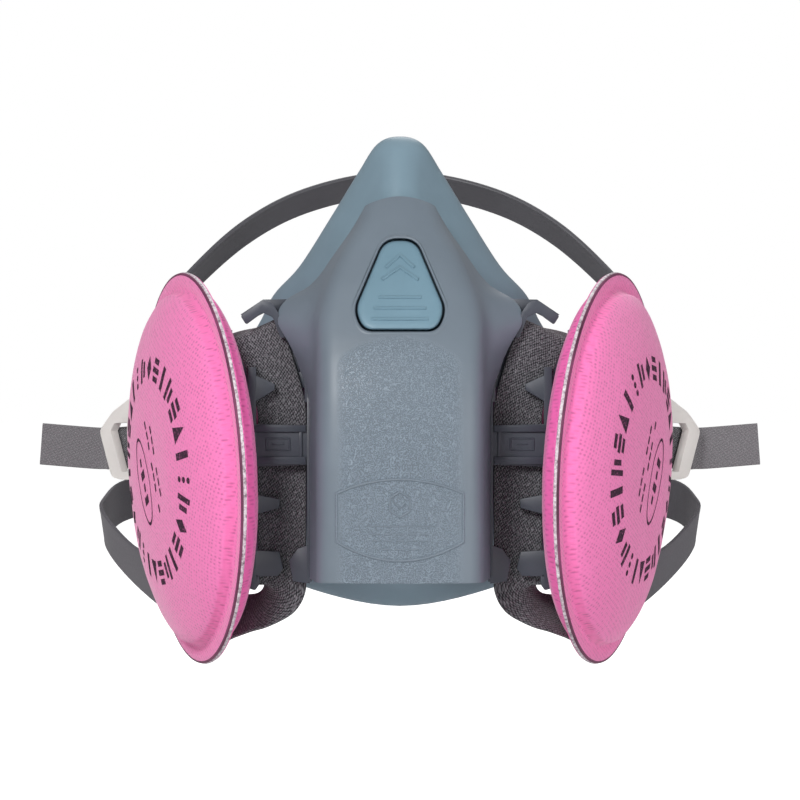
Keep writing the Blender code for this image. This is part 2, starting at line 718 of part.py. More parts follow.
SIDE_WEBBING = [
    ((STRAP_CENTRE, STRAP_PLANE, -46.5), (1, 0, 0)),
    ((STRAP_CENTRE, STRAP_PLANE, -26), (1, 0, 0)),
    ((STRAP_CENTRE, STRAP_PLANE, -6), (1, 0, 0)),
    ((32.2, STRAP_PLANE, 4), (0.97, 0, -0.2)),
    ((35.2, STRAP_PLANE, 13.2), (0.913, 0, -0.407)),
]
UPPER_STRAP = [
    ((37.8, -10.7, 17.6), (0.913, 0, -0.407)),
    ((41.2, -4, 15.8), (0.82, -0.1, -0.55)),
    ((49, 12, 12), (0.5, -0.1, -0.86)),
    ((58.5, 36, 6), (0.2, -0.05, -0.97)),
    ((67.2, 66, -4.2), (0.05, 0, -0.99)),
]
NECK_STRAP = [
    ((STRAP_CENTRE, STRAP_PLANE, -46.9), (1, 0, 0)),
    ((STRAP_CENTRE + 0.1, STRAP_PLANE, -48.6), (0.99, 0.05, 0.12)),
    ((31.9, -16.6, -51), (0.8, 0.5, 0.3)),
    ((35.6, -13.6, -54.1), (0.42, 0.85, 0.3)),
    ((41.2, -6.5, -56.7), (0.08, 0.8, 0.5)),
    ((48, 8.8, -57.8), (-0.05, 0.4, 0.9)),
    ((62, 45, -54.5), (-0.1, 0.05, 0.99)),
    ((77, 77, -48), (0.2, 0, 0.97)),
    ((87.2, 98, -39.5), (0.2, 0, 0.97)),
    ((88.6, 111, -35.2), (0.05, 0, 1)),
    ((84.5, 137, -30.8), (0, 0, 1)),
    ((67, 163, -28.2), (0, 0, 1)),
    ((40, 176.5, -27.1), (0, 0, 1)),
    ((12.5, 180.4, -27), (0, 0, 1)),
]
TAIL_LENGTH = 21.0


def fold_stations():
    """The turn of the webbing round the guide's slanted top bar, from its front to its back."""
    across = Vector((0.913, 0, -0.407))
    up = Vector((0.407, 0, 0.913))
    middle = Vector((36.2, UPPER_FOLD.y, UPPER_FOLD.z + 0.45))
    radius = UPPER_FOLD.y - STRAP_PLANE
    stations = []
    for degrees in (172, 140, 110, 80, 55):
        angle = math.radians(degrees)
        stations.append((middle + radius * (Vector((0, math.cos(angle), 0)) + up * math.sin(angle)), across))
    return stations


def buckle_point(along, inwards, up=0.0):
    """A point in the right buckle's own axes: along the strap, towards the head, and up."""
    inner = BUCKLE_ALONG.cross(Vector((0, 0, 1))).normalized() * -1
    above = inner.cross(BUCKLE_ALONG).normalized() * -1
    if above.z < 0:
        above *= -1
    return BUCKLE_CENTRE + BUCKLE_ALONG * along + inner * inwards + above * up


def make_strap(name, stations, origin=(0, 0, 0), spans=3):
    bm = bmesh.new()
    skin(bm, ribbon_rings(stations, STRAP_WIDTH, STRAP_THICKNESS, spans))
    finish(name, bm, "webbing", origin=origin)


def make_webbing(name, side):
    make_strap(f"side_webbing_{name}", mirror_stations(SIDE_WEBBING, side))
    behind_plate = ((-17, 3.6), (-9.5, 2.8), (-3, 2.6), (8.8, 2.6))
    into_buckle = [(buckle_point(along, depth), (0, 0, -1)) for along, depth in behind_plate]
    upper = [*fold_stations(), *UPPER_STRAP, *into_buckle]
    make_strap(f"upper_strap_{name}", mirror_stations(upper, side), UPPER_FOLD)
    make_strap(f"neck_strap_{name}", mirror_stations(NECK_STRAP, side), LOWER_FOLD)
    root = buckle_point(9.9, 2.6)
    tail = [
        (root, (0, 0, 1)),
        (root + Vector((1.6, 1.5, 0.1)), (0.03, 0, 1)),
        (root + Vector((5.5, 2.9, 0.2)), (0.08, 0, 1)),
        (root + Vector((TAIL_LENGTH, 5.0, 1.4)), (0.16, 0, 1)),
    ]
    flip = Vector((side, 1, 1))
    make_strap(f"strap_tail_{name}", mirror_stations(tail, side), root * flip)


# ---------------------------------------------------------------- cradle and buckles

CROWN_HALF = [
    (74.9, 92.5, 2.2), (75.2, 96.5, 9), (74.2, 102.5, 16), (69.4, 113.5, 28.5), (60.5, 125, 40),
    (48.2, 133, 51.5), (34, 141, 60.3), (17, 147, 66), (0, 149, 68),
]
REAR_HALF = [
    (71.4, 92.5, 2.2), (72.4, 101, -0.5), (72.6, 116, -4.5), (65.5, 143, -10.5), (49, 163, -15.5),
    (26, 173.5, -17.5),
    (0, 176.5, -18),
]


def band_rings(half, across_end, across_apex):
    """A band from the right pin over the middle to the left pin."""
    stations = []
    last = len(half) - 1
    for k, point in enumerate(half):
        t = smooth_step(k / last * 1.6)
        stations.append((Vector(point), Vector(across_end).lerp(Vector(across_apex), t)))
    other = [(Vector((-c.x, c.y, c.z)), Vector((-w.x, w.y, w.z))) for c, w in stations[:-1]]
    return stations + other[::-1]


def make_band(name, half, across_end, across_apex, origin):
    bm = bmesh.new()
    skin(bm, ribbon_rings(band_rings(half, across_end, across_apex), BAND_WIDTH, BAND_THICKNESS, 2))
    return finish(name, bm, "band_plastic", origin=origin)


def make_cradle():
    pin_line = Vector((0, CRADLE_PIN.y, CRADLE_PIN.z))
    crown = make_band("crown_band", CROWN_HALF, (0, 1, -0.4), (0, 0.72, -0.69), UPPER_FOLD)
    rear = make_band("rear_band", REAR_HALF, (0, -0.3, -0.95), (0, 0.25, -0.97), pin_line)
    return crown, rear


BUCKLE_OUTLINE = [
    (-17, -9.7), (-1.9, -9.7), (3.2, -8.7), (9.1, 5.5), (1.8, 10.7), (-6.9, 14), (-13, 15.5), (-17, 11),
]
BUCKLE_SLOTS = [
    [(-13.5, -7.3), (-8.5, -7.3), (-8.5, 7.3), (-13.5, 7.3)],
    [(-6, -7.3), (-2.2, -7.3), (2.9, 5.2), (0.8, 7.3), (-6, 7.3)],
]
EAR_OUTLINE = [(87, -6.4), (96.5, -6.4), (98, 2), (95, 7), (90, 7), (87, 2)]
EAR_SPAN = (76.6, 78.4)
KEEPER_SPAN = (-5.2, -2.4)
KEEPER_DEPTH = (3.8, 5.2)
KEEPER_HALF = 9.0
KEEPER_CHEEK = 1.8


def buckle_prism(bm, outline, low, high, side):
    """An outline in the buckle's own axes, extruded between two depths, counted towards the head."""
    flip = Vector((side, 1, 1))
    skin(bm, [[buckle_point(a, d, u) * flip for a, u in outline] for d in (low, high)])


def box_outline(low, high, bottom, top):
    return [(low, bottom), (high, bottom), (high, top), (low, top)]


def make_buckle(name, side):
    """A slotted plate, an ear on top for the cradle pin, and a keeper loop behind for the webbing."""
    depth = BUCKLE_HALF_DEPTH
    ahead, behind = KEEPER_SPAN
    near, far = EAR_SPAN
    half = KEEPER_HALF
    inner = KEEPER_HALF - KEEPER_CHEEK
    cheek_depth = (depth - 0.25, KEEPER_DEPTH[1] - 0.1)
    ear = rounded(EAR_OUTLINE, 1.5, 2)
    buckle = merge_parts(
        f"buckle_{name}",
        "buckle_plastic",
        [
            lambda bm: buckle_prism(bm, rounded(BUCKLE_OUTLINE, 1.5, 2), -depth, depth, side),
            lambda bm: skin(bm, [[(side * x, y, z) for y, z in ear] for x in (near, far)]),
            lambda bm: buckle_prism(bm, box_outline(ahead, behind, -half, half), *KEEPER_DEPTH, side),
            lambda bm: buckle_prism(bm, box_outline(ahead, behind, inner, half - 0.1), *cheek_depth, side),
            lambda bm: buckle_prism(bm, box_outline(ahead, behind, 0.1 - half, -inner), *cheek_depth, side),
        ],
        origin=UPPER_FOLD,
    )
    for number, slot in enumerate(BUCKLE_SLOTS):
        bm = bmesh.new()
        buckle_prism(bm, slot, -2 * depth, 1.3 * depth, side)
        boolean(buckle, finish(f"buckle_slot_{number}_{name}", bm, "buckle_plastic"))
    return buckle


def make_pin(name, side):
    """The pin runs through the buckle's ear and the ends of both bands."""
    bm = bmesh.new()
    inner, outer = PIN_SPAN
    y, z = CRADLE_PIN.y, CRADLE_PIN.z
    rod(bm, (side * outer, y, z), (side * inner, y, z), PIN_RADIUS)
    finish(f"cradle_pin_{name}", bm, "buckle_plastic", origin=UPPER_FOLD)


def pin_hole(name, side, radius):
    bm = bmesh.new()
    y, z = CRADLE_PIN.y, CRADLE_PIN.z
    rod(bm, (side * 84, y, z), (side * 68, y, z), radius, 16)
    return finish(name, bm, "buckle_plastic")


# ---------------------------------------------------------------- neck clasp


def make_clasp():
    """The hook plate with its finger and lug, and the plate whose window the lug clips into."""
    y, z = CLASP_CENTRE.y, CLASP_CENTRE.z
    pivot = Vector((CLASP_PIVOT_X, y, z))
    front, back = y - CLASP_HALF_DEPTH, y + CLASP_HALF_DEPTH
    bottom, top = z - CLASP_HALF_HEIGHT, z + CLASP_HALF_HEIGHT
    near, far = CLASP_SLOT

    def window(name, low_x, high_x, half):
        bm = bmesh.new()
        block(bm, (low_x, y - 4, z - half), (high_x, y + 6, z + half))
        return finish(name, bm, "clasp_plastic")

    hook = merge_parts(
        "clasp_hook",
        "clasp_plastic",
        [
            lambda bm: block(bm, (-CLASP_REACH, front, bottom), (-1.2, back, top)),
            lambda bm: block(bm, (-6, y + 1.6, z - 5), (7.2, y + 3.8, z + 5)),
            lambda bm: block(bm, (-5.5, y - 0.9, z - 4.6), (-1.6, y + 3.2, z + 4.6)),
            lambda bm: block(bm, (4.4, y - 0.9, z - 4), (7.0, y + 2.4, z + 4)),
        ],
        origin=pivot,
    )
    boolean(hook, window("clasp_hook_slot", -far, -near, CLASP_SLOT_HALF))
    bm = bmesh.new()
    block(bm, (-0.6, front, bottom), (CLASP_REACH, back, top))
    loop = finish("clasp_loop", bm, "clasp_plastic", origin=LOWER_FOLD)
    boolean(loop, window("clasp_loop_window", 2.4, 9.2, 5.4))
    boolean(loop, window("clasp_loop_slot", near, far, CLASP_SLOT_HALF))


def main():
    clear_scene()
    make_face_seal()
    make_valve()
    make_front_cover()
    crown, rear = make_cradle()
    for name, side in SIDES.items():
        make_port(name, side)
        make_filter(name, side)
        make_guide(name, side)
        make_webbing(name, side)
        buckle = make_buckle(name, side)
        make_pin(name, side)
        boolean(buckle, pin_hole(f"buckle_pin_hole_{name}", side, BUCKLE_HOLE))
        for band, label in ((crown, "crown"), (rear, "rear")):
            boolean(band, pin_hole(f"{label}_pin_hole_{name}", side, BAND_HOLE))
    make_clasp()


main()
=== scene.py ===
"""Visual model of a half-face respirator with two particulate filter discs and a head harness.

Lengths are written in millimetres and become metres in the meshes. The front faces -Y and +Z is up.
"""

import math

import bmesh
import bpy
import numpy as np
from mathutils import Matrix, Vector, noise


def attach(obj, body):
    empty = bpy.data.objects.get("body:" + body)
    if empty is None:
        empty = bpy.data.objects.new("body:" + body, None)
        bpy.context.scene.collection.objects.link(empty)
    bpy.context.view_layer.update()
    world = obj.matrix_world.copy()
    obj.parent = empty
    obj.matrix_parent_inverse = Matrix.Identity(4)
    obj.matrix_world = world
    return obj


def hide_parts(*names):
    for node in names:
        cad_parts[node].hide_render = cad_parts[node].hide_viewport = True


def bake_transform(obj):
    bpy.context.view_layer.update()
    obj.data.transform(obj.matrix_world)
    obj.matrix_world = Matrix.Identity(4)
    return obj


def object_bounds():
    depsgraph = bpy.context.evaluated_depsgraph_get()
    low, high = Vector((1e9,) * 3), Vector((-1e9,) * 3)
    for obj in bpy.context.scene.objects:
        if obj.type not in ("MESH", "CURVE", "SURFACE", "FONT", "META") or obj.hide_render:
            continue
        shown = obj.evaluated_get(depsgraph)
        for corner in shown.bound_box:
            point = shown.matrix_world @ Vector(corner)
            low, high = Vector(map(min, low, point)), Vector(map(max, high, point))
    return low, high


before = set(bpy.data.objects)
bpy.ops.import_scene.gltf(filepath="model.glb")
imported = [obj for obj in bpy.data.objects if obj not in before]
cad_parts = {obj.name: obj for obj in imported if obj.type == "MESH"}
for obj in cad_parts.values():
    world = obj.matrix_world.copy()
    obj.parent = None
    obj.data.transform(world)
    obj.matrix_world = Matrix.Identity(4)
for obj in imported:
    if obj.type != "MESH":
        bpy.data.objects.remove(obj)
CAD_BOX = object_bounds()

MM = 0.001
SIDES = {"left": -1, "right": 1}

# ---------------------------------------------------------------- dimensions shared with the CAD frame

VALVE_CENTRE = Vector((0, -28, -18))
VALVE_RING_RADIUS = 19.0
SEAL_THICKNESS = 2.0
COVER_THICKNESS = 2.0
FILTER_CENTRE = Vector((55, -2, -18))
FILTER_FACING = Vector((0.94, -0.34, -0.05)).normalized()
HALF_HEIGHT = 51.5
HALF_WIDTH = 47.5
SEAL_WALL = 23.8
PORT_SEAT_FLAT = 19.0
PORT_SEAT_EDGE = 27.0
STRAP_PLANE = -17.5
STRAP_CENTRE = 30.6
UPPER_FOLD = Vector((0, -14.5, 15.1))
BUCKLE_CENTRE = Vector((83.6, 101, -14.2))
BUCKLE_ALONG = Vector((0.62, 0.78, -0.05)).normalized()
CRADLE_PIN = Vector((74.9, 92.5, 2.2))
PIN_MIDDLE = 74.25
CLASP = Vector((0, 183.4, -27))

SEAL_FRONT = [
    (0, -19, 32), (3, -19, 31.5), (6, -18.5, 29), (9.5, -18, 25), (13, -18, 20), (16, -18, 14),
    (18.8, -17.5, 7), (20.6, -17, -4), (21, -16, -16), (20.6, -16, -28), (18, -15, -36), (10.5, -13, -40),
    (0, -12, -42),
]
SEAL_BODY = [
    (0, -6.5, 61), (3.4, -6, 59.3), (6.3, -5.3, 54), (9.6, -5.8, 45), (15, -7.5, 34.5), (19.6, -8, 25.5),
    (24.5, -6, 17), (29.5, -2, 3), (33, 5, -15), (32, 5, -28), (26, 3, -38), (14.5, 0, -45), (0, -2, -48),
]
SEAL_EDGE = [
    (0, 2, 69), (5.3, 2.6, 67.4), (10.2, 5, 60.3), (17.6, 9, 48.6), (26.2, 14, 35.6), (33.5, 20, 28),
    (38, 24.5, 19.8), (49, 32, 4), (54, 36.5, -15), (51, 33, -31), (41, 24, -42.5), (23, 12, -50),
    (0, 7, -54),
]
SEAL_LIP = [
    (0, 10, 60), (4, 10.5, 58.5), (6.5, 13, 53), (11.5, 17, 43), (18, 22, 31), (24, 27, 23.5),
    (28, 30, 16), (36, 37, 2), (40, 40.5, -14), (37, 37.5, -26), (28, 29, -34.5), (15, 20, -40), (0, 14, -44),
]
# Height, depth of the centre line, girth where the corner starts, its length, wall angle, flare angle,
# and the furthest x and y that the cover reaches.
COVER_TABLE = [
    (53, -15.5, 3.0, 8, 62, 0, 7.8, -8.5),
    (46, -20.5, 5.5, 8, 72, 0, 11.6, -9.5),
    (38, -26, 9.8, 8, 72, 0, 17.0, -11.5),
    (30, -31, 13.0, 8, 68, -8, 23.0, -13),
    (25.5, -33.5, 14.3, 8, 66, -26, 30.0, -13.5),
    (20, -36.5, 15.0, 8.5, 68, -30, 31.5, -14),
    (15, -39, 15.0, 9, 72, -22, 28.8, -16),
    (9, -41.3, 15.0, 9.5, 77, -8, 26.2, -20),
    (0, -43.6, 15.0, 10, 82, 0, 24.8, -22),
    (-15, -45, 15.0, 10, 83, 0, 24.4, -22),
    (-46, -44.6, 15.0, 10, 83, 0, 24.4, -22),
]
COVER_TOP = 53.0
COVER_BOTTOM = -46.0
CENTRE_TURN = math.radians(7)
WINDOW = [(-4.2, 41.6), (4.2, 41.6), (11.9, 22.9), (9.6, 17.3), (-9.6, 17.3), (-11.9, 22.9)]
WINDOW_MIDDLE = (0, 27)


# ---------------------------------------------------------------- curves


def smooth_step(x):
    x = np.clip(x, 0.0, 1.0)
    return x * x * (3 - 2 * x)


def curve_through(points, spans):
    """A smooth curve through all the points, spans pieces to each interval."""
    points = [np.array(p, float) for p in points]
    ends = [2 * points[0] - points[1], *points, 2 * points[-1] - points[-2]]
    out = []
    for i in range(1, len(ends) - 2):
        a, b, c, d = ends[i - 1 : i + 3]
        for k in range(spans):
            t = k / spans
            out.append(
                0.5
                * (2 * b + (c - a) * t + (2 * a - 5 * b + 4 * c - d) * t**2 + (3 * b - a - 3 * c + d) * t**3)
            )
    out.append(points[-1])
    return out


def read_table(table, z):
    """Read one row of values at height z from a table sorted by falling height, with no kinks."""
    heights = [row[0] for row in table]
    rows = [np.array(row[1:], float) for row in table]
    z = min(max(z, heights[-1]), heights[0])
    i = max(k for k in range(len(heights) - 1) if heights[k] >= z)
    slopes = []
    for k in (i, i + 1):
        lo, hi = max(k - 1, 0), min(k + 1, len(rows) - 1)
        slopes.append((rows[hi] - rows[lo]) / (heights[hi] - heights[lo]))
    span = heights[i + 1] - heights[i]
    t = (z - heights[i]) / span
    return (
        (1 + 2 * t) * (1 - t) ** 2 * rows[i]
        + t * (1 - t) ** 2 * span * slopes[0]
        + t * t * (3 - 2 * t) * rows[i + 1]
        + t * t * (t - 1) * span * slopes[1]
    )


def rounded(outline, radius, steps=8):
    """Round the corners of a closed outline."""
    out = []
    count = len(outline)
    for i, corner in enumerate(outline):
        corner = np.array(corner, float)
        back = np.array(outline[i - 1]) - corner
        ahead = np.array(outline[(i + 1) % count]) - corner
        cut = min(radius, 0.45 * np.linalg.norm(back), 0.45 * np.linalg.norm(ahead))
        start = corner + back / np.linalg.norm(back) * cut
        end = corner + ahead / np.linalg.norm(ahead) * cut
        for k in range(steps + 1):
            t = k / steps
            out.append(tuple((1 - t) ** 2 * start + 2 * t * (1 - t) * corner + t * t * end))
    return out


def scaled(outline, gap, middle=WINDOW_MIDDLE):
    """Shrink an outline by about gap towards its middle."""
    out = []
    for x, z in outline:
        away = Vector((x - middle[0], z - middle[1]))
        away *= (away.length - gap) / away.length
        out.append((middle[0] + away.x, middle[1] + away.y))
    return out


def resample(points, step):
    """Points at even spacing along a line of points."""
    points = [Vector(p) for p in points]
    out = []
    for a, b in zip(points, points[1:]):
        count = max(1, round((b - a).length / step))
        out += [a.lerp(b, k / count) for k in range(count)]
    out.append(points[-1])
    return out


# ---------------------------------------------------------------- materials


def start_material(name, colour, roughness, **sockets):
    """A Principled material whose even values sit on the shader's own sockets."""
    made = bpy.data.materials.new(name)
    made.use_nodes = True
    shader = made.node_tree.nodes["Principled BSDF"]
    shader.inputs["Base Color"].default_value = (*colour, 1)
    shader.inputs["Roughness"].default_value = roughness
    for key, value in sockets.items():
        shader.inputs[key.replace("_", " ")].default_value = value
    return made, made.node_tree, shader


def add_node(tree, kind, links=(), **settings):
    """A node with its settings. links maps an input's name to another node's output."""
    made = tree.nodes.new(f"ShaderNode{kind}")
    for key, value in settings.items():
        if key in made.inputs:
            made.inputs[key].default_value = value
        else:
            setattr(made, key, value)
    for key, output in dict(links).items():
        tree.links.new(output, made.inputs[key])
    return made


def coordinates(tree, space="Object", turn=0.0, stretch=(1, 1, 1)):
    source = add_node(tree, "TexCoord").outputs[space]
    return add_node(
        tree, "Mapping", {"Vector": source}, Rotation=(0, 0, turn), Scale=stretch
    ).outputs["Vector"]


def ramp(tree, factor, *stops):
    made = add_node(tree, "ValToRGB", {"Fac": factor})
    elements = made.color_ramp.elements
    while len(elements) < len(stops):
        elements.new(0.5)
    for element, (place, colour) in zip(elements, stops):
        element.position = place
        element.color = (*colour, 1) if len(colour) == 3 else colour
    return made.outputs["Color"]


def grey(value):
    return (value, value, value)


def shade(colour, factor):
    return tuple(min(1.0, c * factor) for c in colour)


def bump(tree, height, strength, distance, below=None):
    made = add_node(tree, "Bump", {"Height": height}, Strength=strength, Distance=distance)
    if below is not None:
        tree.links.new(below, made.inputs["Normal"])
    return made.outputs["Normal"]


def noise_at(tree, where, scale, detail, rough=0.5):
    noise_node = add_node(tree, "TexNoise", {"Vector": where}, Scale=scale, Detail=detail, Roughness=rough)
    return noise_node.outputs["Fac"]


def cells_at(tree, where, scale, randomness):
    cells = add_node(tree, "TexVoronoi", {"Vector": where}, Scale=scale, Randomness=randomness, feature="F1")
    return cells.outputs["Distance"]


def mixed(tree, factor, first, second):
    """Mix two colours. The factor and the colours are outputs or plain values."""
    made = add_node(tree, "Mix", data_type="RGBA", blend_type="MIX")
    for socket, value in zip((0, 6, 7), (factor, first, second)):
        if isinstance(value, bpy.types.NodeSocket):
            tree.links.new(value, made.inputs[socket])
        else:
            made.inputs[socket].default_value = (*value, 1) if isinstance(value, tuple) else value
    return made.outputs[2]


def paint(tree, shader, colour, normal):
    tree.links.new(colour, shader.inputs["Base Color"])
    tree.links.new(normal, shader.inputs["Normal"])


GLOSS_SPREAD = 0.08


def moulded(name, colour, roughness, grain=0.25, grain_size=0.5, drift=0.12, **sockets):
    """Moulded plastic or rubber: fine grain, soft colour drift and uneven gloss."""
    made, tree, shader = start_material(name, colour, roughness, **sockets)
    where = coordinates(tree)
    patches = noise_at(tree, where, 70, 4.0)
    limits = {"To Min": roughness - GLOSS_SPREAD, "To Max": roughness + GLOSS_SPREAD}
    gloss = add_node(tree, "MapRange", {"Value": patches}, **limits)
    tree.links.new(gloss.outputs["Result"], shader.inputs["Roughness"])
    tint = ramp(tree, patches, (0.3, shade(colour, 1 - drift)), (0.7, shade(colour, 1 + drift)))
    fine = noise_at(tree, where, 1 / (grain_size * MM), 3.0)
    paint(tree, shader, tint, bump(tree, fine, grain, 0.12 * MM))
    return made


COVER_COLOUR = (0.158, 0.196, 0.236)


def cover_material():
    """Grained front panel and satin flanks. The mesh's grain attribute says where the grain is, and the
    raised grain is painted lighter as a highlight.
    """
    made, tree, shader = start_material("cover_plastic_fine", COVER_COLOUR, 0.5, Specular_IOR_Level=0.55)
    where = coordinates(tree)
    patches = noise_at(tree, where, 45, 4.0)
    tint = ramp(tree, patches, (0.3, shade(COVER_COLOUR, 0.88)), (0.7, shade(COVER_COLOUR, 1.02)))
    mask = add_node(tree, "Attribute", attribute_name="grain").outputs["Fac"]
    steep = ramp(tree, noise_at(tree, where, 3500, 1.0), (0.4, grey(0.0)), (0.58, grey(1.0)))
    strong = add_node(tree, "Math", {0: steep, 1: mask}, operation="MULTIPLY").outputs["Value"]
    below = bump(tree, noise_at(tree, where, 2600, 2.0), 0.15, 0.1 * MM)
    # The raised grain dots are painted 1.55 times lighter: painted highlight on the grain.
    grain_highlight = mixed(tree, strong, tint, shade(COVER_COLOUR, 1.55))
    paint(tree, shader, grain_highlight, bump(tree, strong, 0.8, 0.2 * MM, below))
    gloss = add_node(tree, "MapRange", {"Value": mask}, **{"To Min": 0.44, "To Max": 0.4})
    tree.links.new(gloss.outputs["Result"], shader.inputs["Roughness"])
    return made


def filter_material(name, colour, dark):
    """Pink non-woven cover fabric: rows of fine dimples with painted shade in them, fibres and a soft sheen.
    UV is in millimetres.
    """
    made, tree, shader = start_material(
        name, colour, 0.85, Sheen_Weight=0.35, Sheen_Roughness=0.5, Specular_IOR_Level=0.25
    )
    where = coordinates(tree, "UV", math.radians(24))
    rows = cells_at(tree, where, 0.95, 0.3)
    wisps = noise_at(tree, where, 2.6, 6.0, 0.7)
    dimple = ramp(tree, rows, (0.0, grey(0.0)), (0.42, grey(0.85)), (0.75, grey(1.0)))
    # The colour falls to half in the dimples and rises a little between them: painted shade and painted
    # highlight following the bump.
    dimple_shade = ramp(tree, rows, (0.05, shade(colour, 0.5)), (0.36, colour), (0.8, shade(colour, 1.08)))
    cloudy = ramp(tree, wisps, (0.3, dark), (0.6, colour), (0.8, (0.98, 0.55, 0.76)))
    below = bump(tree, wisps, 0.35, 0.12 * MM)
    paint(tree, shader, mixed(tree, 0.3, dimple_shade, cloudy), bump(tree, dimple, 0.55, 0.22 * MM, below))
    return made


def webbing_material(name, thread, gap, fleck, pitch, contrast=1.0):
    """Woven elastic: a slanted grid of thread knots with dark gaps, painted shade between the threads. UV is
    in millimetres.
    """
    made, tree, shader = start_material(
        name, thread, 0.8, Sheen_Weight=0.25, Sheen_Roughness=0.6, Specular_IOR_Level=0.25
    )
    where = coordinates(tree, "UV", math.radians(32), (1.0, 0.72, 1))
    knots = cells_at(tree, where, 1 / pitch, 0.12)
    fuzz = noise_at(tree, where, 1.7, 5.0, 0.65)
    # The gap colour between the knots is painted shade in the weave.
    weave_and_gap_shade = ramp(tree, knots, (0.18, thread), (0.3 + 0.2 * contrast, gap))
    flecks = ramp(tree, fuzz, (0.5, grey(0.0)), (0.72, grey(1.0)))
    height = ramp(tree, knots, (0.0, grey(1.0)), (0.55, grey(0.0)))
    below = bump(tree, fuzz, 0.25, 0.15 * MM)
    paint(tree, shader, mixed(tree, flecks, weave_and_gap_shade, fleck), bump(tree, height, 0.7, 0.3 * MM, below))
    return made


def ribbed_material(name, colour, pitch, depth, roughness):
    """Finely ribbed elastic band, darker in the grooves and lighter on the ribs as painted shade and
    highlight. UV is in millimetres, U across the band and V along it.
    """
    made, tree, shader = start_material(
        name, colour, roughness, Sheen_Weight=0.12, Sheen_Roughness=0.5, Specular_IOR_Level=0.35
    )
    where = coordinates(tree, "UV")
    wave = add_node(
        tree, "TexWave", {"Vector": where}, wave_type="BANDS", bands_direction="Y",
        Scale=0.314 / pitch, Distortion=0.4, Detail=2.0,
    )
    ribs = wave.outputs["Fac"]
    fuzz = noise_at(tree, where, 1.2, 5.0)
    # The colour follows the rib height, darker in the grooves and lighter on the ribs: painted shade and
    # painted highlight.
    tint = ramp(tree, ribs, (0.0, shade(colour, 0.78)), (1.0, shade(colour, 1.12)))
    cloudy = ramp(tree, fuzz, (0.35, shade(colour, 0.85)), (0.7, shade(colour, 1.2)))
    below = bump(tree, fuzz, 0.15, 0.1 * MM)
    paint(tree, shader, mixed(tree, 0.4, tint, cloudy), bump(tree, ribs, 0.5, depth * MM, below))
    return made


def weld_material():
    """The heat-welded rim: whitish fused fibres with dark pinches."""
    made, tree, shader = start_material("weld_rim", (0.55, 0.5, 0.53), 0.45, Specular_IOR_Level=0.6)
    pinches = noise_at(tree, coordinates(tree), 900, 4.0, 0.7)
    tint = ramp(tree, pinches, (0.34, (0.16, 0.11, 0.14)), (0.5, (0.62, 0.5, 0.57)), (0.68, grey(0.85)))
    paint(tree, shader, tint, bump(tree, pinches, 0.6, 0.2 * MM))
    return made


def print_material():
    """Ink soaked into the fabric, a little broken by the dimples."""
    made, tree, shader = start_material("mark_ink", (0.05, 0.03, 0.05), 0.9, Specular_IOR_Level=0.15)
    breaks = noise_at(tree, coordinates(tree), 1600, 3.0)
    stops = (0.3, (0.03, 0.018, 0.03)), (0.58, (0.07, 0.03, 0.055)), (0.72, (0.4, 0.09, 0.24))
    paint(tree, shader, ramp(tree, breaks, *stops), bump(tree, breaks, 0.4, 0.1 * MM))
    return made


SEAL_COLOUR = (0.19, 0.28, 0.34)
PINK = (0.93, 0.225, 0.52)
MATERIALS = {
    "seal": moulded("seal_silicone_fine", SEAL_COLOUR, 0.42, grain=0.1, grain_size=0.35, drift=0.06),
    "pad": moulded("pad_silicone_fine", (0.16, 0.27, 0.34), 0.4, grain=0.08, grain_size=0.35, drift=0.05),
    "cover": cover_material(),
    # The guides are the same blue-grey plastic as the cover, set much darker as painted shade.
    "guide": moulded("guide_plastic_shaded", (0.052, 0.06, 0.08), 0.42, grain=0.14, grain_size=0.3),
    "port": moulded("port_plastic_fine", (0.07, 0.085, 0.11), 0.42, grain=0.14, grain_size=0.3),
    "gasket": moulded("gasket_rubber_fine", (0.02, 0.02, 0.022), 0.65, grain=0.3, grain_size=0.25),
    "flap": moulded(
        "valve_silicone_fine", (0.66, 0.63, 0.54), 0.38, grain=0.06, drift=0.04, Subsurface_Weight=0.2
    ),
    "spacer": moulded("spacer_plastic_fine", (0.7, 0.7, 0.68), 0.5, grain=0.15),
    "connector": moulded("connector_plastic_fine", (0.74, 0.08, 0.36), 0.42, grain=0.12, grain_size=0.3),
    "buckle": moulded(
        "buckle_plastic_fine", (0.86, 0.82, 0.79), 0.3, grain=0.05, drift=0.03,
        Subsurface_Weight=0.35, Subsurface_Radius=(0.003, 0.003, 0.003),
    ),
    "clasp": moulded("clasp_plastic_fine", (0.045, 0.046, 0.055), 0.36, grain=0.12, grain_size=0.3),
    "filter_front": filter_material("filter_fabric_front", PINK, (0.82, 0.12, 0.4)),
    # The back fabric is a darker copy of the front fabric: painted shade on the side turned away from the
    # light.
    "filter_back": filter_material("filter_fabric_back_shaded", (0.86, 0.15, 0.45), (0.7, 0.08, 0.32)),
    "webbing": webbing_material(
        "webbing_woven", (0.19, 0.188, 0.206), (0.012, 0.012, 0.016), (0.34, 0.335, 0.36), 0.52
    ),
    "neck": ribbed_material("webbing_neck", (0.118, 0.112, 0.128), 0.9, 0.1, 0.75),
    "tail": webbing_material(
        "webbing_tail", (0.235, 0.22, 0.235), (0.17, 0.16, 0.172), (0.25, 0.24, 0.255), 0.7, 0.6
    ),
    "band": moulded("band_elastic", (0.082, 0.081, 0.092), 0.48, grain=0.12, grain_size=0.3, drift=0.08),
    "weld": weld_material(),
    # A dark strip along the filter rim's front edge: painted shade of the groove beside the weld bead.
    "groove_shade": moulded("weld_groove_shade", (0.16, 0.035, 0.09), 0.6, grain=0.5, grain_size=0.6, drift=0.5),
    "ink": print_material(),
}


# ---------------------------------------------------------------- mesh tools


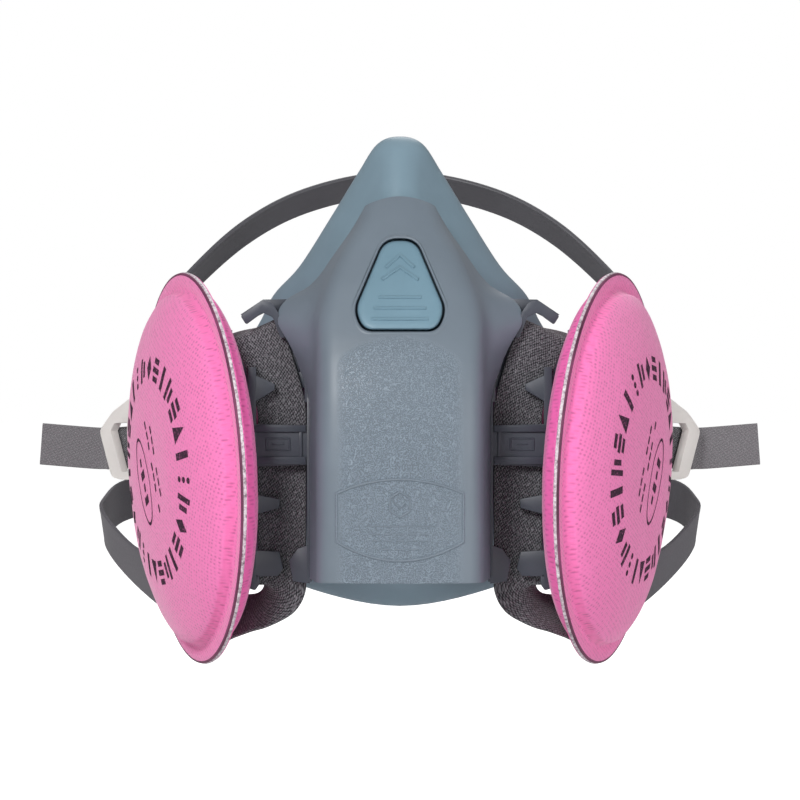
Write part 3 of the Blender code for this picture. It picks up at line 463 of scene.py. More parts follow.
def new_object(name, bm, material, smooth_angle=38, frame_of=None):
    """Make an object from a bmesh in millimetres. frame_of places a mesh built in local axes."""
    bmesh.ops.recalc_face_normals(bm, faces=bm.faces)
    bmesh.ops.scale(bm, vec=(MM, MM, MM), verts=bm.verts)
    if frame_of is not None:
        bmesh.ops.transform(bm, matrix=frame_of, verts=bm.verts)
    mesh = bpy.data.meshes.new(name)
    bm.to_mesh(mesh)
    bm.free()
    mesh.shade_smooth()
    mesh.set_sharp_from_angle(angle=math.radians(smooth_angle))
    item = bpy.data.objects.new(name, mesh)
    bpy.context.scene.collection.objects.link(item)
    item.data.materials.append(MATERIALS[material])
    return item


def bake(item, smooth_angle=38):
    """Turn an object's modifiers into its mesh."""
    graph = bpy.context.evaluated_depsgraph_get()
    made = bpy.data.meshes.new_from_object(item.evaluated_get(graph), depsgraph=graph)
    item.modifiers.clear()
    item.data = made
    made.shade_smooth()
    made.set_sharp_from_angle(angle=math.radians(smooth_angle))
    return item


def boolean(target, cutter, operation="DIFFERENCE"):
    step = target.modifiers.new(cutter.name, "BOOLEAN")
    step.operation = operation
    step.object = cutter
    step.solver = "EXACT"


def add_bevel(item, width, segments=2, angle=50):
    step = item.modifiers.new("edges", "BEVEL")
    step.width = width * MM
    step.segments = segments
    step.limit_method = "ANGLE"
    step.angle_limit = math.radians(angle)


def discard(*items):
    for item in items:
        bpy.data.objects.remove(item, do_unlink=True)


def settle(item, body, slot, *nodes):
    """Say which body a piece rides on and which CAD nodes it stands for. The slot argument is not used."""
    if nodes:
        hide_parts(*nodes)
    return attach(item, body)


def skin(bm, rings, closed=False, caps=True, round_ring=True, uvs=None):
    """Skin a row of equal rings. uvs gives the (u, v) in millimetres of each ring's points."""
    rows = [[bm.verts.new(p) for p in ring] for ring in rings]
    count = len(rows[0])
    layer = bm.loops.layers.uv.verify() if uvs is not None else None
    last = len(rows) if closed else len(rows) - 1
    for r in range(last):
        a, b = rows[r], rows[(r + 1) % len(rows)]
        for i in range(count if round_ring else count - 1):
            j = (i + 1) % count
            face = bm.faces.new((a[i], a[j], b[j], b[i]))
            if layer is not None:
                places = (uvs(r, i), uvs(r, i + 1), uvs(r + 1, i + 1), uvs(r + 1, i))
                for loop, place in zip(face.loops, places):
                    loop[layer].uv = place
    if caps and not closed:
        bm.faces.new(rows[0])
        bm.faces.new(rows[-1])
    return rows


def plan_uv(bm):
    """UV from the local X and Y, in millimetres."""
    layer = bm.loops.layers.uv.verify()
    for face in bm.faces:
        for loop in face.loops:
            loop[layer].uv = (loop.vert.co.x, loop.vert.co.y)


def add_block(bm, low, high, turn=0.0, side=1):
    low, high = Vector(low), Vector(high)
    size = high - low
    middle = (low + high) / 2
    middle.x *= side
    place = Matrix.Rotation(turn, 4, "Z") @ Matrix.Translation(middle) @ Matrix.Diagonal((*size, 1))
    bmesh.ops.create_cube(bm, size=1, matrix=place)


def add_turned(bm, profile, steps=72, corner=0.25):
    """Turn a closed profile of (radius, height) pairs about local Z, its corners rounded."""
    points = rounded(profile, corner, 2) if corner else profile
    made = [bm.verts.new((max(r, 0.0), 0, h)) for r, h in points]
    edges = [bm.edges.new((a, b)) for a, b in zip(made, made[1:] + made[:1])]
    bmesh.ops.spin(
        bm, geom=made + edges, cent=(0, 0, 0), axis=(0, 0, 1), angle=2 * math.pi, steps=steps, use_merge=True
    )
    bmesh.ops.remove_doubles(bm, verts=bm.verts, dist=0.0005)


def refined(name, node, material, body, width, segments):
    """A CAD node's shape with rounded edges, as a new piece that stands for it."""
    bm = bmesh.new()
    bm.from_mesh(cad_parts[node].data)
    bmesh.ops.remove_doubles(bm, verts=bm.verts, dist=2e-6)
    bmesh.ops.dissolve_limit(bm, angle_limit=math.radians(2), verts=bm.verts, edges=bm.edges)
    bmesh.ops.scale(bm, vec=(1 / MM,) * 3, verts=bm.verts)
    item = new_object(name, bm, material)
    add_bevel(item, width, segments, 32)
    bake(item, 34)
    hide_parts(node)
    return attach(item, body)


def ribbon_frames(stations, spans):
    """Centre, along, across and outward vectors down a flat strap."""
    centres = [Vector(p) for p in curve_through([c for c, _ in stations], spans)]
    across = [Vector(p) for p in curve_through([w for _, w in stations], spans)]
    out = []
    travelled = 0.0
    for i, centre in enumerate(centres):
        ahead = centres[min(i + 1, len(centres) - 1)]
        behind = centres[max(i - 1, 0)]
        along = (ahead - behind).normalized()
        wide = (across[i] - along * across[i].dot(along)).normalized()
        if i:
            travelled += (centre - centres[i - 1]).length
        out.append((centre, wide, along.cross(wide).normalized(), travelled))
    return out


def strap_section(width, thickness, edge, selvedge):
    """Half-width and depth pairs round a strap: soft edges, a flat middle and a slightly raised selvedge."""
    half, deep = width / 2, thickness / 2
    top = []
    for k in range(13):
        x = -half + edge + (width - 2 * edge) * k / 12
        near = 1 - min(abs(abs(x) - (half - 1.1)) / 0.8, 1)
        top.append((x, deep - selvedge + selvedge * near))
    corner = []
    for degrees in (70, 35, 0, -35, -70):
        angle = math.radians(degrees)
        corner.append((half - edge + edge * math.cos(angle), (deep - 0.05) * math.sin(angle)))
    bottom = [(-x, -y) for x, y in top]
    return top + corner + bottom + [(-x, -y) for x, y in corner]


def make_strap(name, stations, width, thickness, spans, material, edge=0.45, selvedge=0.1):
    """A flat strap with rounded edges, its UV in millimetres."""
    section = strap_section(width, thickness, edge, selvedge)
    girth = [0.0]
    for a, b in zip(section, section[1:] + section[:1]):
        girth.append(girth[-1] + math.hypot(b[0] - a[0], b[1] - a[1]))
    frames = ribbon_frames(stations, spans)
    rings = [[c + w * x + n * y for x, y in section] for c, w, n, _ in frames]
    bm = bmesh.new()
    skin(bm, rings, uvs=lambda r, i: (girth[i], frames[min(r, len(frames) - 1)][3]))
    return new_object(name, bm, material, 60)


def mirrored(stations, side):
    flip = Vector((side, 1, 1))
    return [(Vector(c) * flip, Vector(w) * flip) for c, w in stations]


def ridge(bm, path, width, height, place, closed=False):
    """A raised line: path is 2D, and place turns (x, z, lift) into a point."""
    points = resample([(*p, 0) for p in path], 0.6)
    if closed:
        points = points[:-1]
    count = len(points)
    foot, shoulder, crest = (0.5, -0.2), (0.42, 0.35 * height), (0.2, 0.9 * height)
    right = (crest, shoulder, foot)
    section = [(-share, lift) for share, lift in right[::-1]] + list(right)
    rings = []
    for i, point in enumerate(points):
        ahead = points[(i + 1) % count] if closed else points[min(i + 1, count - 1)]
        behind = points[i - 1] if closed else points[max(i - 1, 0)]
        along = (ahead - behind).normalized()
        out = Vector((-along.y, along.x, 0))
        ring = []
        for share, lift in section:
            at = point + out * share * width
            ring.append(place(at.x, at.y, lift))
        rings.append(ring)
    skin(bm, rings, closed=closed)


# ---------------------------------------------------------------- face seal


def seal_ring():
    points = []
    for k in range(len(SEAL_FRONT)):
        angle = math.pi / 2 - math.pi * k / (len(SEAL_FRONT) - 1)
        x, z = VALVE_RING_RADIUS * math.cos(angle), VALVE_RING_RADIUS * math.sin(angle)
        points.append((x, VALVE_CENTRE.y, VALVE_CENTRE.z + z))
    return points


def port_seat(point):
    side = 1 if point[0] > 0 else -1
    facing = np.array(FILTER_FACING) * (side, 1, 1)
    centre = np.array(FILTER_CENTRE) * (side, 1, 1)
    offset = point - centre
    depth = offset @ facing
    radius = np.linalg.norm(offset - depth * facing)
    pull = smooth_step((PORT_SEAT_EDGE - radius) / (PORT_SEAT_EDGE - PORT_SEAT_FLAT))
    return point + facing * pull * (-SEAL_WALL - depth)


def half_loop(points, spans):
    """A curve down the right side that crosses the middle plane squarely at both ends."""
    points = [np.array(p, float) for p in points]
    flip = np.array((-1, 1, 1))
    dense = curve_through([points[1] * flip, *points, points[-2] * flip], spans)
    return dense[spans : -spans]


def seal_surface(spans_along=9, spans_round=6):
    loops = (seal_ring(), SEAL_FRONT, SEAL_BODY, SEAL_EDGE, SEAL_LIP)
    half_loops = [half_loop(loop, spans_round) for loop in loops]
    columns = []
    for k in range(len(half_loops[0])):
        columns.append(curve_through([loop[k] for loop in half_loops], spans_along))
    half = [[port_seat(column[row]) for column in columns] for row in range(len(columns[0]))]
    rows = []
    for row in half:
        other = [p * (-1, 1, 1) for p in row[1:-1]]
        rows.append([Vector(p) for p in row + other[::-1]])
    return rows


def port_frame(side):
    """Local Z points out along the port, local Y points up, and the origin is the filter's centre."""
    flip = Vector((side, 1, 1))
    out = FILTER_FACING * flip
    up = (Vector((0, 0, 1)) - out * out.z).normalized()
    right = up.cross(out)
    turn = Matrix((right, up, out)).transposed().to_4x4()
    return Matrix.Translation(FILTER_CENTRE * flip * MM) @ turn


def valve_frame():
    return Matrix.Translation(VALVE_CENTRE * MM) @ Matrix.Rotation(math.pi / 2, 4, "X")


def make_seal():
    bm = bmesh.new()
    skin(bm, seal_surface(), caps=False)
    seal = new_object("face_seal_skin", bm, "seal")
    shell = seal.modifiers.new("thickness", "SOLIDIFY")
    shell.thickness = SEAL_THICKNESS * MM
    shell.offset = 0
    shell.use_rim = True
    add_bevel(seal, 0.7, 3, 60)
    cutters = []
    for name, side in SIDES.items():
        bm = bmesh.new()
        profile = [(0, -40), (12.3, -40), (12.3, -22.3), (15.9, -22.3), (15.9, -12), (0, -12)]
        add_turned(bm, profile, 64, 0)
        cutters.append(new_object(f"port_hole_{name}", bm, "seal", frame_of=port_frame(side)))
        boolean(seal, cutters[-1])
    bake(seal, 50)
    discard(*cutters)
    settle(seal, "root", "seal_silicone", "face_seal")


# ---------------------------------------------------------------- front cover


def cover_section(z, step=0.2):
    front, corner, length, wall, flare, far_x, far_y = read_table(COVER_TABLE, z)
    girths = np.arange(0, 60, step)
    turn = CENTRE_TURN * np.minimum(girths / corner, 1)
    turn += (math.radians(wall) - CENTRE_TURN) * smooth_step((girths - corner) / length)
    turn += math.radians(flare) * smooth_step((girths - corner - length) / 7)
    x = np.concatenate([[0], np.cumsum(np.cos(turn[:-1]) * step)])
    y = front + np.concatenate([[0], np.cumsum(np.sin(turn[:-1]) * step)])
    inside = (x <= far_x) & (y <= far_y)
    last = int(np.argmin(inside)) if not inside.all() else len(girths) - 1
    return girths[: last + 1], x[: last + 1], y[: last + 1]


def cover_row(height, across):
    row = []
    for u in across:
        z = height - 2.5 * u * u * float(smooth_step((height - 40) / 13))
        girths, x, y = cover_section(z)
        s = abs(u) * girths[-1]
        row.append(Vector((math.copysign(np.interp(s, girths, x), u), np.interp(s, girths, y), z)))
    return row


DEPTHS = {}


def cover_depth(x, z):
    """The y of the cover's outer face at x and z."""
    key = round(z * 20)
    if key not in DEPTHS:
        DEPTHS[key] = cover_section(key / 20)[1:]
    xs, ys = DEPTHS[key]
    return float(np.interp(abs(x), xs, ys))


def on_cover(x, z, lift):
    return Vector((x, cover_depth(x, z) - lift, z))


WINDOW_BEVEL = 0.95
# Gap from the window's outline and depth below the cover's face, round the rim's section.
RIM_SECTION = [
    (-WINDOW_BEVEL, 0.02), (-0.62, -0.12), (-0.3, -0.08), (-0.06, 0.18), (0.0, 0.6), (0.0, 2.1),
    (-WINDOW_BEVEL, 2.0),
]
# Gap from the pad's outline and height above the cover's face, from its back to its flat front.
PAD_SECTION = [
    (0.2, -3.2), (0.0, -2.2), (0.0, -1.25), (0.12, -0.7), (0.5, -0.32), (1.1, -0.18), (2.2, -0.12),
]
PAD_FACE = PAD_SECTION[-1][1]


# The grained panel: its half width, the height of its arched top, the arch's fall at x = 15, and the
# depth that it stays in front of.
GRAIN_HALF = 16.5
GRAIN_TOP = 17.2
GRAIN_FALL = 5.5
GRAIN_BACK = -25


def mark_grain(mesh):
    points = np.zeros(len(mesh.vertices) * 3)
    mesh.vertices.foreach_get("co", points)
    x, y, z = points.reshape(-1, 3).T / MM
    arch = GRAIN_TOP - GRAIN_FALL * (x / 15) ** 2
    grain = smooth_step((GRAIN_HALF - np.abs(x)) / 3.5) * smooth_step((arch - z) / 3) * (y < GRAIN_BACK)
    attribute = mesh.attributes.new("grain", "FLOAT", "POINT")
    attribute.data.foreach_set("value", grain.astype(np.float32))


def make_cover():
    heights = list(np.arange(COVER_TOP, 5, -0.9)) + list(np.arange(5, COVER_BOTTOM, -2.4)) + [COVER_BOTTOM]
    across = [math.copysign(abs(k / 44) ** 0.95, k) for k in range(-44, 45)]
    bm = bmesh.new()
    skin(bm, [cover_row(float(height), across) for height in heights], caps=False, round_ring=False)
    cover = new_object("front_cover_shell", bm, "cover")
    shell = cover.modifiers.new("thickness", "SOLIDIFY")
    shell.thickness = COVER_THICKNESS * MM
    shell.offset = -1
    shell.use_even_offset = True
    add_bevel(cover, 0.45, 3, 60)
    outline = scaled(rounded(WINDOW, 3.5), -WINDOW_BEVEL)
    bm = bmesh.new()
    skin(bm, [[Vector((x, y, z)) for x, z in outline] for y in (-60, -12)])
    cutter = new_object("window_cutter", bm, "cover")
    boolean(cover, cutter)
    bake(cover, 40)
    discard(cutter)
    mark_grain(cover.data)
    settle(cover, "root", "cover_plastic", "front_cover")
    make_window_rim()
    make_cover_marks()


def make_window_rim():
    """The rounded edge of the window, from the shell's face down into the opening."""
    inner = rounded(WINDOW, 3.5)
    rings = [[on_cover(x, z, -drop) for x, z in scaled(inner, gap)] for gap, drop in RIM_SECTION]
    bm = bmesh.new()
    skin(bm, [list(ring) for ring in zip(*rings)], closed=True)
    rim = new_object("window_rim", bm, "cover", 60)
    settle(rim, "root", "cover_plastic")


def make_window_pad():
    """The silicone pad in the window, with a plain chevron and bars instead of lettering."""
    base = scaled(rounded(WINDOW, 3.5), 0.6)
    rings = [[on_cover(x, z, lift) for x, z in scaled(base, gap)] for gap, lift in PAD_SECTION]
    middle = Vector(WINDOW_MIDDLE)
    for share in (0.66, 0.4, 0.15):
        ring = []
        for x, z in scaled(base, PAD_SECTION[-1][0]):
            at = middle + (Vector((x, z)) - middle) * share
            ring.append(on_cover(at.x, at.y, PAD_FACE))
        rings.append(ring)
    bm = bmesh.new()
    skin(bm, rings)

    def place(x, z, lift):
        return on_cover(x, z, lift + PAD_FACE)

    for top, half in ((37.2, 3.6), (34.0, 4.6)):
        ridge(bm, [(-half, top - 3.2), (0, top), (half, top - 3.2)], 1.0, 0.4, place)
    for z, half in ((26.2, 5.4), (23.4, 6.6), (20.6, 7.2)):
        ridge(bm, [(-half, z), (half, z)], 0.95, 0.4, place)
    pad = new_object("window_pad", bm, "pad", 45)
    settle(pad, "root", "seal_silicone")


def barrel(half, top, side_top, side_bottom, bottom):
    """A barrel outline: arched top and bottom and straight sides."""
    path = []
    for k in range(25):
        u = -1 + 2 * k / 24
        path.append((half * u, top + (side_top - top) * u * u))
    for k in range(25):
        u = 1 - 2 * k / 24
        path.append((half * u, bottom + (side_bottom - bottom) * u * u))
    path.append(path[0])
    return path


def make_cover_marks():
    """The moulded barrel-shaped frame low on the cover, with a plain hexagon and bars inside."""
    bm = bmesh.new()
    ridge(bm, barrel(15.9, -19.9, -23.4, -35.6, -40.3), 0.8, 0.34, on_cover, closed=True)
    hexagon = [(2.9 * math.sin(k * math.pi / 3), -26.2 + 3.2 * math.cos(k * math.pi / 3)) for k in range(7)]
    ridge(bm, hexagon, 0.7, 0.3, on_cover, closed=True)
    ridge(bm, [(-1.3, -25.7), (0, -27.2), (1.3, -25.7)], 0.6, 0.22, on_cover)
    ridge(bm, [(-8.6, -31.6), (8.6, -31.6)], 0.5, 0.22, on_cover)
    for z, count, length in ((-33.6, 5, 2.1), (-35.3, 5, 2.1), (-37.4, 3, 2.6)):
        for k in range(count):
            x = (k - (count - 1) / 2) * (length + 0.9)
            ridge(bm, [(x - length / 2, z), (x + length / 2, z)], 0.6, 0.18, on_cover)
    marks = new_object("cover_frame_marks", bm, "cover", 60)
    mesh = marks.data
    grain = mesh.attributes.new("grain", "FLOAT", "POINT")
    grain.data.foreach_set("value", np.full(len(mesh.vertices), 0.25, np.float32))
    settle(marks, "root", "cover_plastic")


# ---------------------------------------------------------------- valve and ports


def turned_piece(name, builders, material, place, body, slot, node, width=0.0):
    """One object from several turned or block solids in local axes."""
    bm = bmesh.new()
    for build in builders:
        build(bm)
    item = new_object(name, bm, material, frame_of=place)
    if width:
        add_bevel(item, width, 2, 40)
        bake(item)
    return settle(item, body, slot, node)


def make_valve():
    place = valve_frame()
    body = [
        (12.5, -6), (17.1, -6), (17.1, 1.4), (19.8, 1.4), (19.8, 3.4), (13.8, 3.4), (13.8, 4.4), (12.5, 4.4),
    ]
    hub = [(0, 0.6), (2.6, 0.6), (2.6, 3.6), (1.2, 3.6), (1.2, 6.4), (0, 6.4)]
    turned_piece(
        "valve_seat_body",
        [
            lambda bm: add_turned(bm, body, 96, 0.3),
            lambda bm: add_block(bm, (-1.0, -13.1, 1.4), (1.0, 13.1, 3.2)),
            lambda bm: add_block(bm, (-1.0, -13.1, 1.45), (1.0, 13.1, 3.15), math.pi / 2),
            lambda bm: add_turned(bm, hub, 40, 0.15),
        ],
        "port", place, "root", "port_plastic", "valve_seat", 0.15,
    )
    flap = [
        (1.6, 4.75), (6, 4.72), (11, 4.7), (15.4, 4.72), (15.38, 5.05), (14.6, 5.5), (11, 5.4), (6, 5.65),
        (3.4, 5.85), (1.6, 5.9),
    ]
    turned_piece(
        "exhalation_flap_disc", [lambda bm: add_turned(bm, flap, 96, 0)], "flap", place, "exhalation_flap",
        "valve_silicone", "exhalation_flap",
    )


def lug_blocks(reach, low, high, inner):
    def build(bm):
        for k in range(3):
            add_block(bm, (inner, -3.2, low), (reach, 3.2, high), k * 2 * math.pi / 3)

    return build


def make_port(name, side):
    place = port_frame(side)
    tube = [
        (9.6, -31), (12, -31), (12, -22), (15.6, -22), (15.6, -20), (12, -20), (12, -11.5), (9.6, -11.5),
    ]
    turned_piece(
        f"port_body_{name}",
        [
            lambda bm: add_turned(bm, tube, 80, 0.35),
            lug_blocks(14.4, -14.6, -12.8, 11),
            lambda bm: add_block(bm, (-0.9, -10.2, -29.6), (0.9, 10.2, -28)),
            lambda bm: add_block(bm, (-0.9, -10.2, -29.55), (0.9, 10.2, -28.05), math.pi / 2),
            lambda bm: add_turned(bm, [(0, -30), (2.2, -30), (2.2, -27.8), (0, -27.8)], 32, 0.3),
        ],
        "port", place, "root", "port_plastic", f"port_{name}", 0.15,
    )
    ring = [(12.3, -27.4), (15.2, -27.4), (15.2, -25.3), (12.3, -25.3)]

    def grips(bm):
        add_turned(bm, ring, 80, 0.4)
        for k in range(8):
            add_block(bm, (13.2, -0.8, -27.6), (15.15, 0.8, -25.2), k * math.pi / 4)

    turned_piece(
        f"port_clamp_{name}", [grips], "port", place, "root", "port_plastic", f"port_clamp_ring_{name}", 0.2
    )
    gasket = [(12.3, -19.7), (15.2, -19.7), (15.2, -18.9), (14.2, -18.3), (12.8, -18.3), (12.3, -18.9)]
    turned_piece(
        f"port_seal_ring_{name}", [lambda bm: add_turned(bm, gasket, 80, 0.3)], "gasket", place, "root",
        "gasket_rubber", f"port_gasket_{name}",
    )
    flap = [(0, -32.15), (5, -32.15), (10, -32.05), (11.4, -31.85), (11.4, -31.4), (6, -31.35), (0, -31.4)]
    stud = [(0, -32.8), (1.3, -32.7), (1.8, -32.3), (1.8, -32.0), (0, -32.0)]
    turned_piece(
        f"inhalation_flap_disc_{name}",
        [lambda bm: add_turned(bm, flap, 72, 0), lambda bm: add_turned(bm, stud, 32, 0)],
        "flap", place, f"inhalation_flap_{name}", "valve_silicone", f"inhalation_flap_{name}",
    )


# ---------------------------------------------------------------- filters

# Share of the disc's outline and height above its middle plane, from inside the rim to the crown.
FRONT_RIM = [
    (0.62, 0.3), (0.98, 0.3), (0.995, 0.45), (0.998, 0.75), (0.99, 0.95), (0.965, 0.95), (0.938, 0.92),
    (0.926, 0.8), (0.916, 0.95),
]
FRONT_LINE = [(0.905, 1.35), (0.897, 2.5), (0.882, 4.3), (0.8, 6.75), (0.62, 9.6), (0.35, 11.3), (0.0, 11.5)]
BACK_RIM = [
    (0.6, 0.3), (0.985, 0.3), (1.0, 0.45), (1.0, 0.75), (0.99, 0.92), (0.96, 0.95), (0.943, 0.9),
    (0.935, 0.85),
]
BACK_LINE = [(0.925, 1.3), (0.918, 2.6), (0.9, 4.2), (0.83, 5.85), (0.7, 6.2), (0.45, 6.2), (0.29, 6.2)]
BACK_HOLE = [(13.6, 6.15), (13.4, 5.8), (13.4, 4.6), (14.2, 4.4)]
PAD_STEPS = 168
FRONT_DENTS = 0.28
BACK_DENTS = 0.16
FRONT_SEEDS = {-1: 29, 1: 11}
BACK_SEEDS = {-1: 71, 1: 53}


def ellipse(share, lift, out=0.0):
    points = []
    for k in range(PAD_STEPS):
        angle = 2 * math.pi * k / PAD_STEPS
        at = Vector((HALF_WIDTH * share * math.cos(angle), HALF_HEIGHT * share * math.sin(angle), lift))
        points.append(at + Vector((math.cos(angle), math.sin(angle), 0)) * out)
    return points


def round_hole(radius, lift):
    turns = [2 * math.pi * k / PAD_STEPS for k in range(PAD_STEPS)]
    return [Vector((radius * math.cos(a), radius * math.sin(a), lift)) for a in turns]


FRONT_DENSE = [tuple(p) for p in curve_through(FRONT_LINE[::-1], 10)]


def pad_lift(x, y):
    """Height of the front pad's face above the middle plane at local x and y."""
    share = math.hypot(x / HALF_WIDTH, y / HALF_HEIGHT)
    return float(np.interp(share, [r for r, _ in FRONT_DENSE], [h for _, h in FRONT_DENSE]))


def unevenness(point, amount, seed):
    """Small soft dents, the same on every run."""
    at = Vector((point.x, point.y, seed)) * 0.055
    fine = Vector((point.x, point.y, seed + 40)) * 0.16
    return amount * (noise.noise(at) + 0.35 * noise.noise(fine))


def make_pad(kind, name, side, rings):
    bm = bmesh.new()
    skin(bm, rings, caps=kind == "front")
    plan_uv(bm)
    pad = new_object(f"filter_{kind}_{name}", bm, f"filter_{kind}", 70, port_frame(side))
    settle(pad, f"filter_{name}", "filter_media", f"filter_{kind}_pad_{name}")


def make_filter_front(name, side):
    rim = [ellipse(share, lift) for share, lift in FRONT_RIM]
    dome = [ellipse(float(share), float(lift)) for share, lift in curve_through(FRONT_LINE, 7)[:-1]]
    for k, ring in enumerate(dome):
        for point in ring:
            point.z += min(k / 10, 1.0) * unevenness(point, FRONT_DENTS, FRONT_SEEDS[side])
    make_pad("front", name, side, rim + dome)


def make_filter_back(name, side):
    rings = [ellipse(share, lift) for share, lift in BACK_RIM]
    rings += [ellipse(float(share), float(lift)) for share, lift in curve_through(BACK_LINE, 6)]
    for ring in rings[10:]:
        for point in ring:
            point.z += unevenness(point, BACK_DENTS, BACK_SEEDS[side])
    rings += [round_hole(radius, lift) for radius, lift in BACK_HOLE]
    for ring in rings:
        for point in ring:
            point.z = -point.z
    make_pad("back", name, side, rings)


BEAD_SECTION = [(-0.1, -0.4), (0.2, -0.36), (0.3, -0.05), (0.22, 0.28), (0.0, 0.42), (-0.2, 0.3)]
# Section of the dark strip that paints the groove's shade beside the bead.
GROOVE_SHADE_SECTION = [(-0.5, 0.6), (0.0, 0.45), (0.12, 0.62), (0.02, 0.86), (-0.5, 0.98), (-0.62, 0.8)]


def make_weld(name, side):
    """The fused edge: a thin pale bead round the rim, and a dark strip in front of it that paints the shade
    of the groove beside the bead.
    """
    for label, material, section in (("bead", "weld", BEAD_SECTION), ("groove_shade", "groove_shade", GROOVE_SHADE_SECTION)):
        rings = [ellipse(1.0, lift, out) for out, lift in section]
        bm = bmesh.new()
        skin(bm, [list(ring) for ring in zip(*rings)], closed=True)
        line = new_object(f"filter_{label}_{name}", bm, material, 60, port_frame(side))
        settle(line, f"filter_{name}", "filter_media")


def mark_patch(bm, outline):
    """A flat mark: a convex outline cut into rings, so that it can follow the dome."""
    outline = [Vector(p) for p in outline]
    middle = sum(outline, Vector((0, 0))) / len(outline)
    dense = [p.to_2d() for p in resample([p.to_3d() for p in [*outline, outline[0]]], 0.8)[:-1]]
    rings = []
    for share in (1.0, 0.66, 0.33):
        shrunk = [middle + (point - middle) * share for point in dense]
        rings.append([bm.verts.new((at.x, at.y, 0)) for at in shrunk])
    for a, b in zip(rings, rings[1:]):
        for i in range(len(dense)):
            j = (i + 1) % len(dense)
            bm.faces.new((a[i], a[j], b[j], b[i]))
    bm.faces.new(rings[-1])


def bar(centre, length, width, turn):
    """A rectangle's outline round centre, turned."""
    along = Vector((math.cos(turn), math.sin(turn))) * length / 2
    over = Vector((-math.sin(turn), math.cos(turn))) * width / 2
    centre = Vector(centre)
    return [centre - along - over, centre + along - over, centre + along + over, centre - along + over]


MARK_RING = 27.0
MARK_ORDER = 3 * ("bar", "dashes", "diamond", "bars", "dots", "bar", "wedge", "dashes", "bars")
MARK_LIFT = 0.07
MARK_TURN = math.radians(64)
OVAL_STEPS = 48


def ring_mark(bm, kind, angle):
    """One mark of the printed ring."""
    out = Vector((math.cos(angle), math.sin(angle)))
    wide = Vector((-out.y, out.x))
    centre = out * MARK_RING
    row = [out * (MARK_RING + step) for step in (-2.4, 0.0, 2.4)]
    if kind == "bar":
        mark_patch(bm, bar(centre, 6.6, 1.9, angle))
    elif kind == "bars":
        mark_patch(bm, bar(centre + wide * 1.3, 6.6, 1.5, angle))
        mark_patch(bm, bar(centre - wide * 1.3, 4.2, 1.5, angle))
    elif kind == "dashes":
        for spot, width in zip(row, (3.8, 5.0, 3.8)):
            mark_patch(bm, bar(spot, 1.5, width, angle))
    elif kind == "dots":
        octagon = [Vector((math.cos(k * math.pi / 4), math.sin(k * math.pi / 4))) for k in range(8)]
        for spot in row:
            mark_patch(bm, [spot + corner * 0.85 for corner in octagon])
    elif kind == "diamond":
        mark_patch(bm, [centre + out * 3.2, centre + wide * 1.9, centre - out * 3.2, centre - wide * 1.9])
    else:
        mark_patch(bm, [centre + out * 3.2, centre - out * 3 + wide * 2.3, centre - out * 3 - wide * 2.3])


def oval_point(step, share):
    angle = 2 * math.pi * step / OVAL_STEPS
    return (12.5 * share * math.cos(angle), -7 + 5.2 * share * math.sin(angle))


def make_print(name, side):
    """Generic printed marks: a ring of bars, blocks and dots, and an oval with dashes in the middle."""
    bm = bmesh.new()
    for k, kind in enumerate(MARK_ORDER):
        ring_mark(bm, kind, 2 * math.pi * (k + 0.5) / len(MARK_ORDER))
    for row, y in enumerate((6.0, 2.4)):
        for k in range(9):
            if (k + row) % 4:
                mark_patch(bm, bar((-12 + 3 * k, y), 2.2, 1.0, 0))
    for k in range(OVAL_STEPS):
        corners = (k, 1.0), (k + 1, 1.0), (k + 1, 0.93), (k, 0.93)
        mark_patch(bm, [oval_point(step, share) for step, share in corners])
    for k in range(4):
        mark_patch(bm, bar((-5.4 + 3.6 * k, -7), 2.3, 3.2 if k % 2 else 1.3, 0))
    turn = Matrix.Rotation(MARK_TURN * side, 4, "Z")
    for vert in bm.verts:
        at = turn @ vert.co
        dent = unevenness(at, FRONT_DENTS, FRONT_SEEDS[side])
        vert.co = (at.x, at.y, pad_lift(at.x, at.y) + MARK_LIFT + dent)
    marks = new_object(f"filter_print_{name}", bm, "ink", 80, port_frame(side))
    settle(marks, f"filter_{name}", "filter_media")


def make_filter(name, side):
    place = port_frame(side)
    make_filter_front(name, side)
    make_filter_back(name, side)
    make_weld(name, side)
    make_print(name, side)
    sleeve = [
        (11.2, -5), (13, -5), (13, -6.9), (20, -6.9), (20, -8.6), (16.6, -8.6), (16.6, -17.8), (14.9, -17.8),
        (14.9, -8.6), (11.2, -8.6),
    ]
    turned_piece(
        f"filter_bayonet_{name}",
        [lambda bm: add_turned(bm, sleeve, 80, 0.3), lug_blocks(15.6, -16.8, -15.1, 12.6)],
        "connector", place, f"filter_{name}", "connector_plastic", f"filter_connector_{name}", 0.15,
    )
    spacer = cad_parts[f"filter_spacer_{name}"]
    spacer.data.materials.clear()
    spacer.data.materials.append(MATERIALS["spacer"])


# ---------------------------------------------------------------- guides and webbing


# Seen from the front, as x and z: the hook plate, its web and the gusset at the guide's lower end.
HOOK_OUTLINE = [
    (41.2, 21.7), (35.4, 25.7), (33.2, 25.2), (31.5, 22.7), (29.4, 16.3), (30.8, 15.9), (32.9, 21.4),
    (35.6, 22.6), (39.8, 19.5),
]
HOOK_WEB = [(35.6, 23.2), (35.4, 25.4), (33.4, 25.0), (33.2, 22.9)]
GUSSET = [(36.3, -45.4), (39.2, -44.5), (39.2, -48.6), (37.4, -49.2), (36.3, -47.6)]
BAR_FRONT = STRAP_PLANE - 3.5
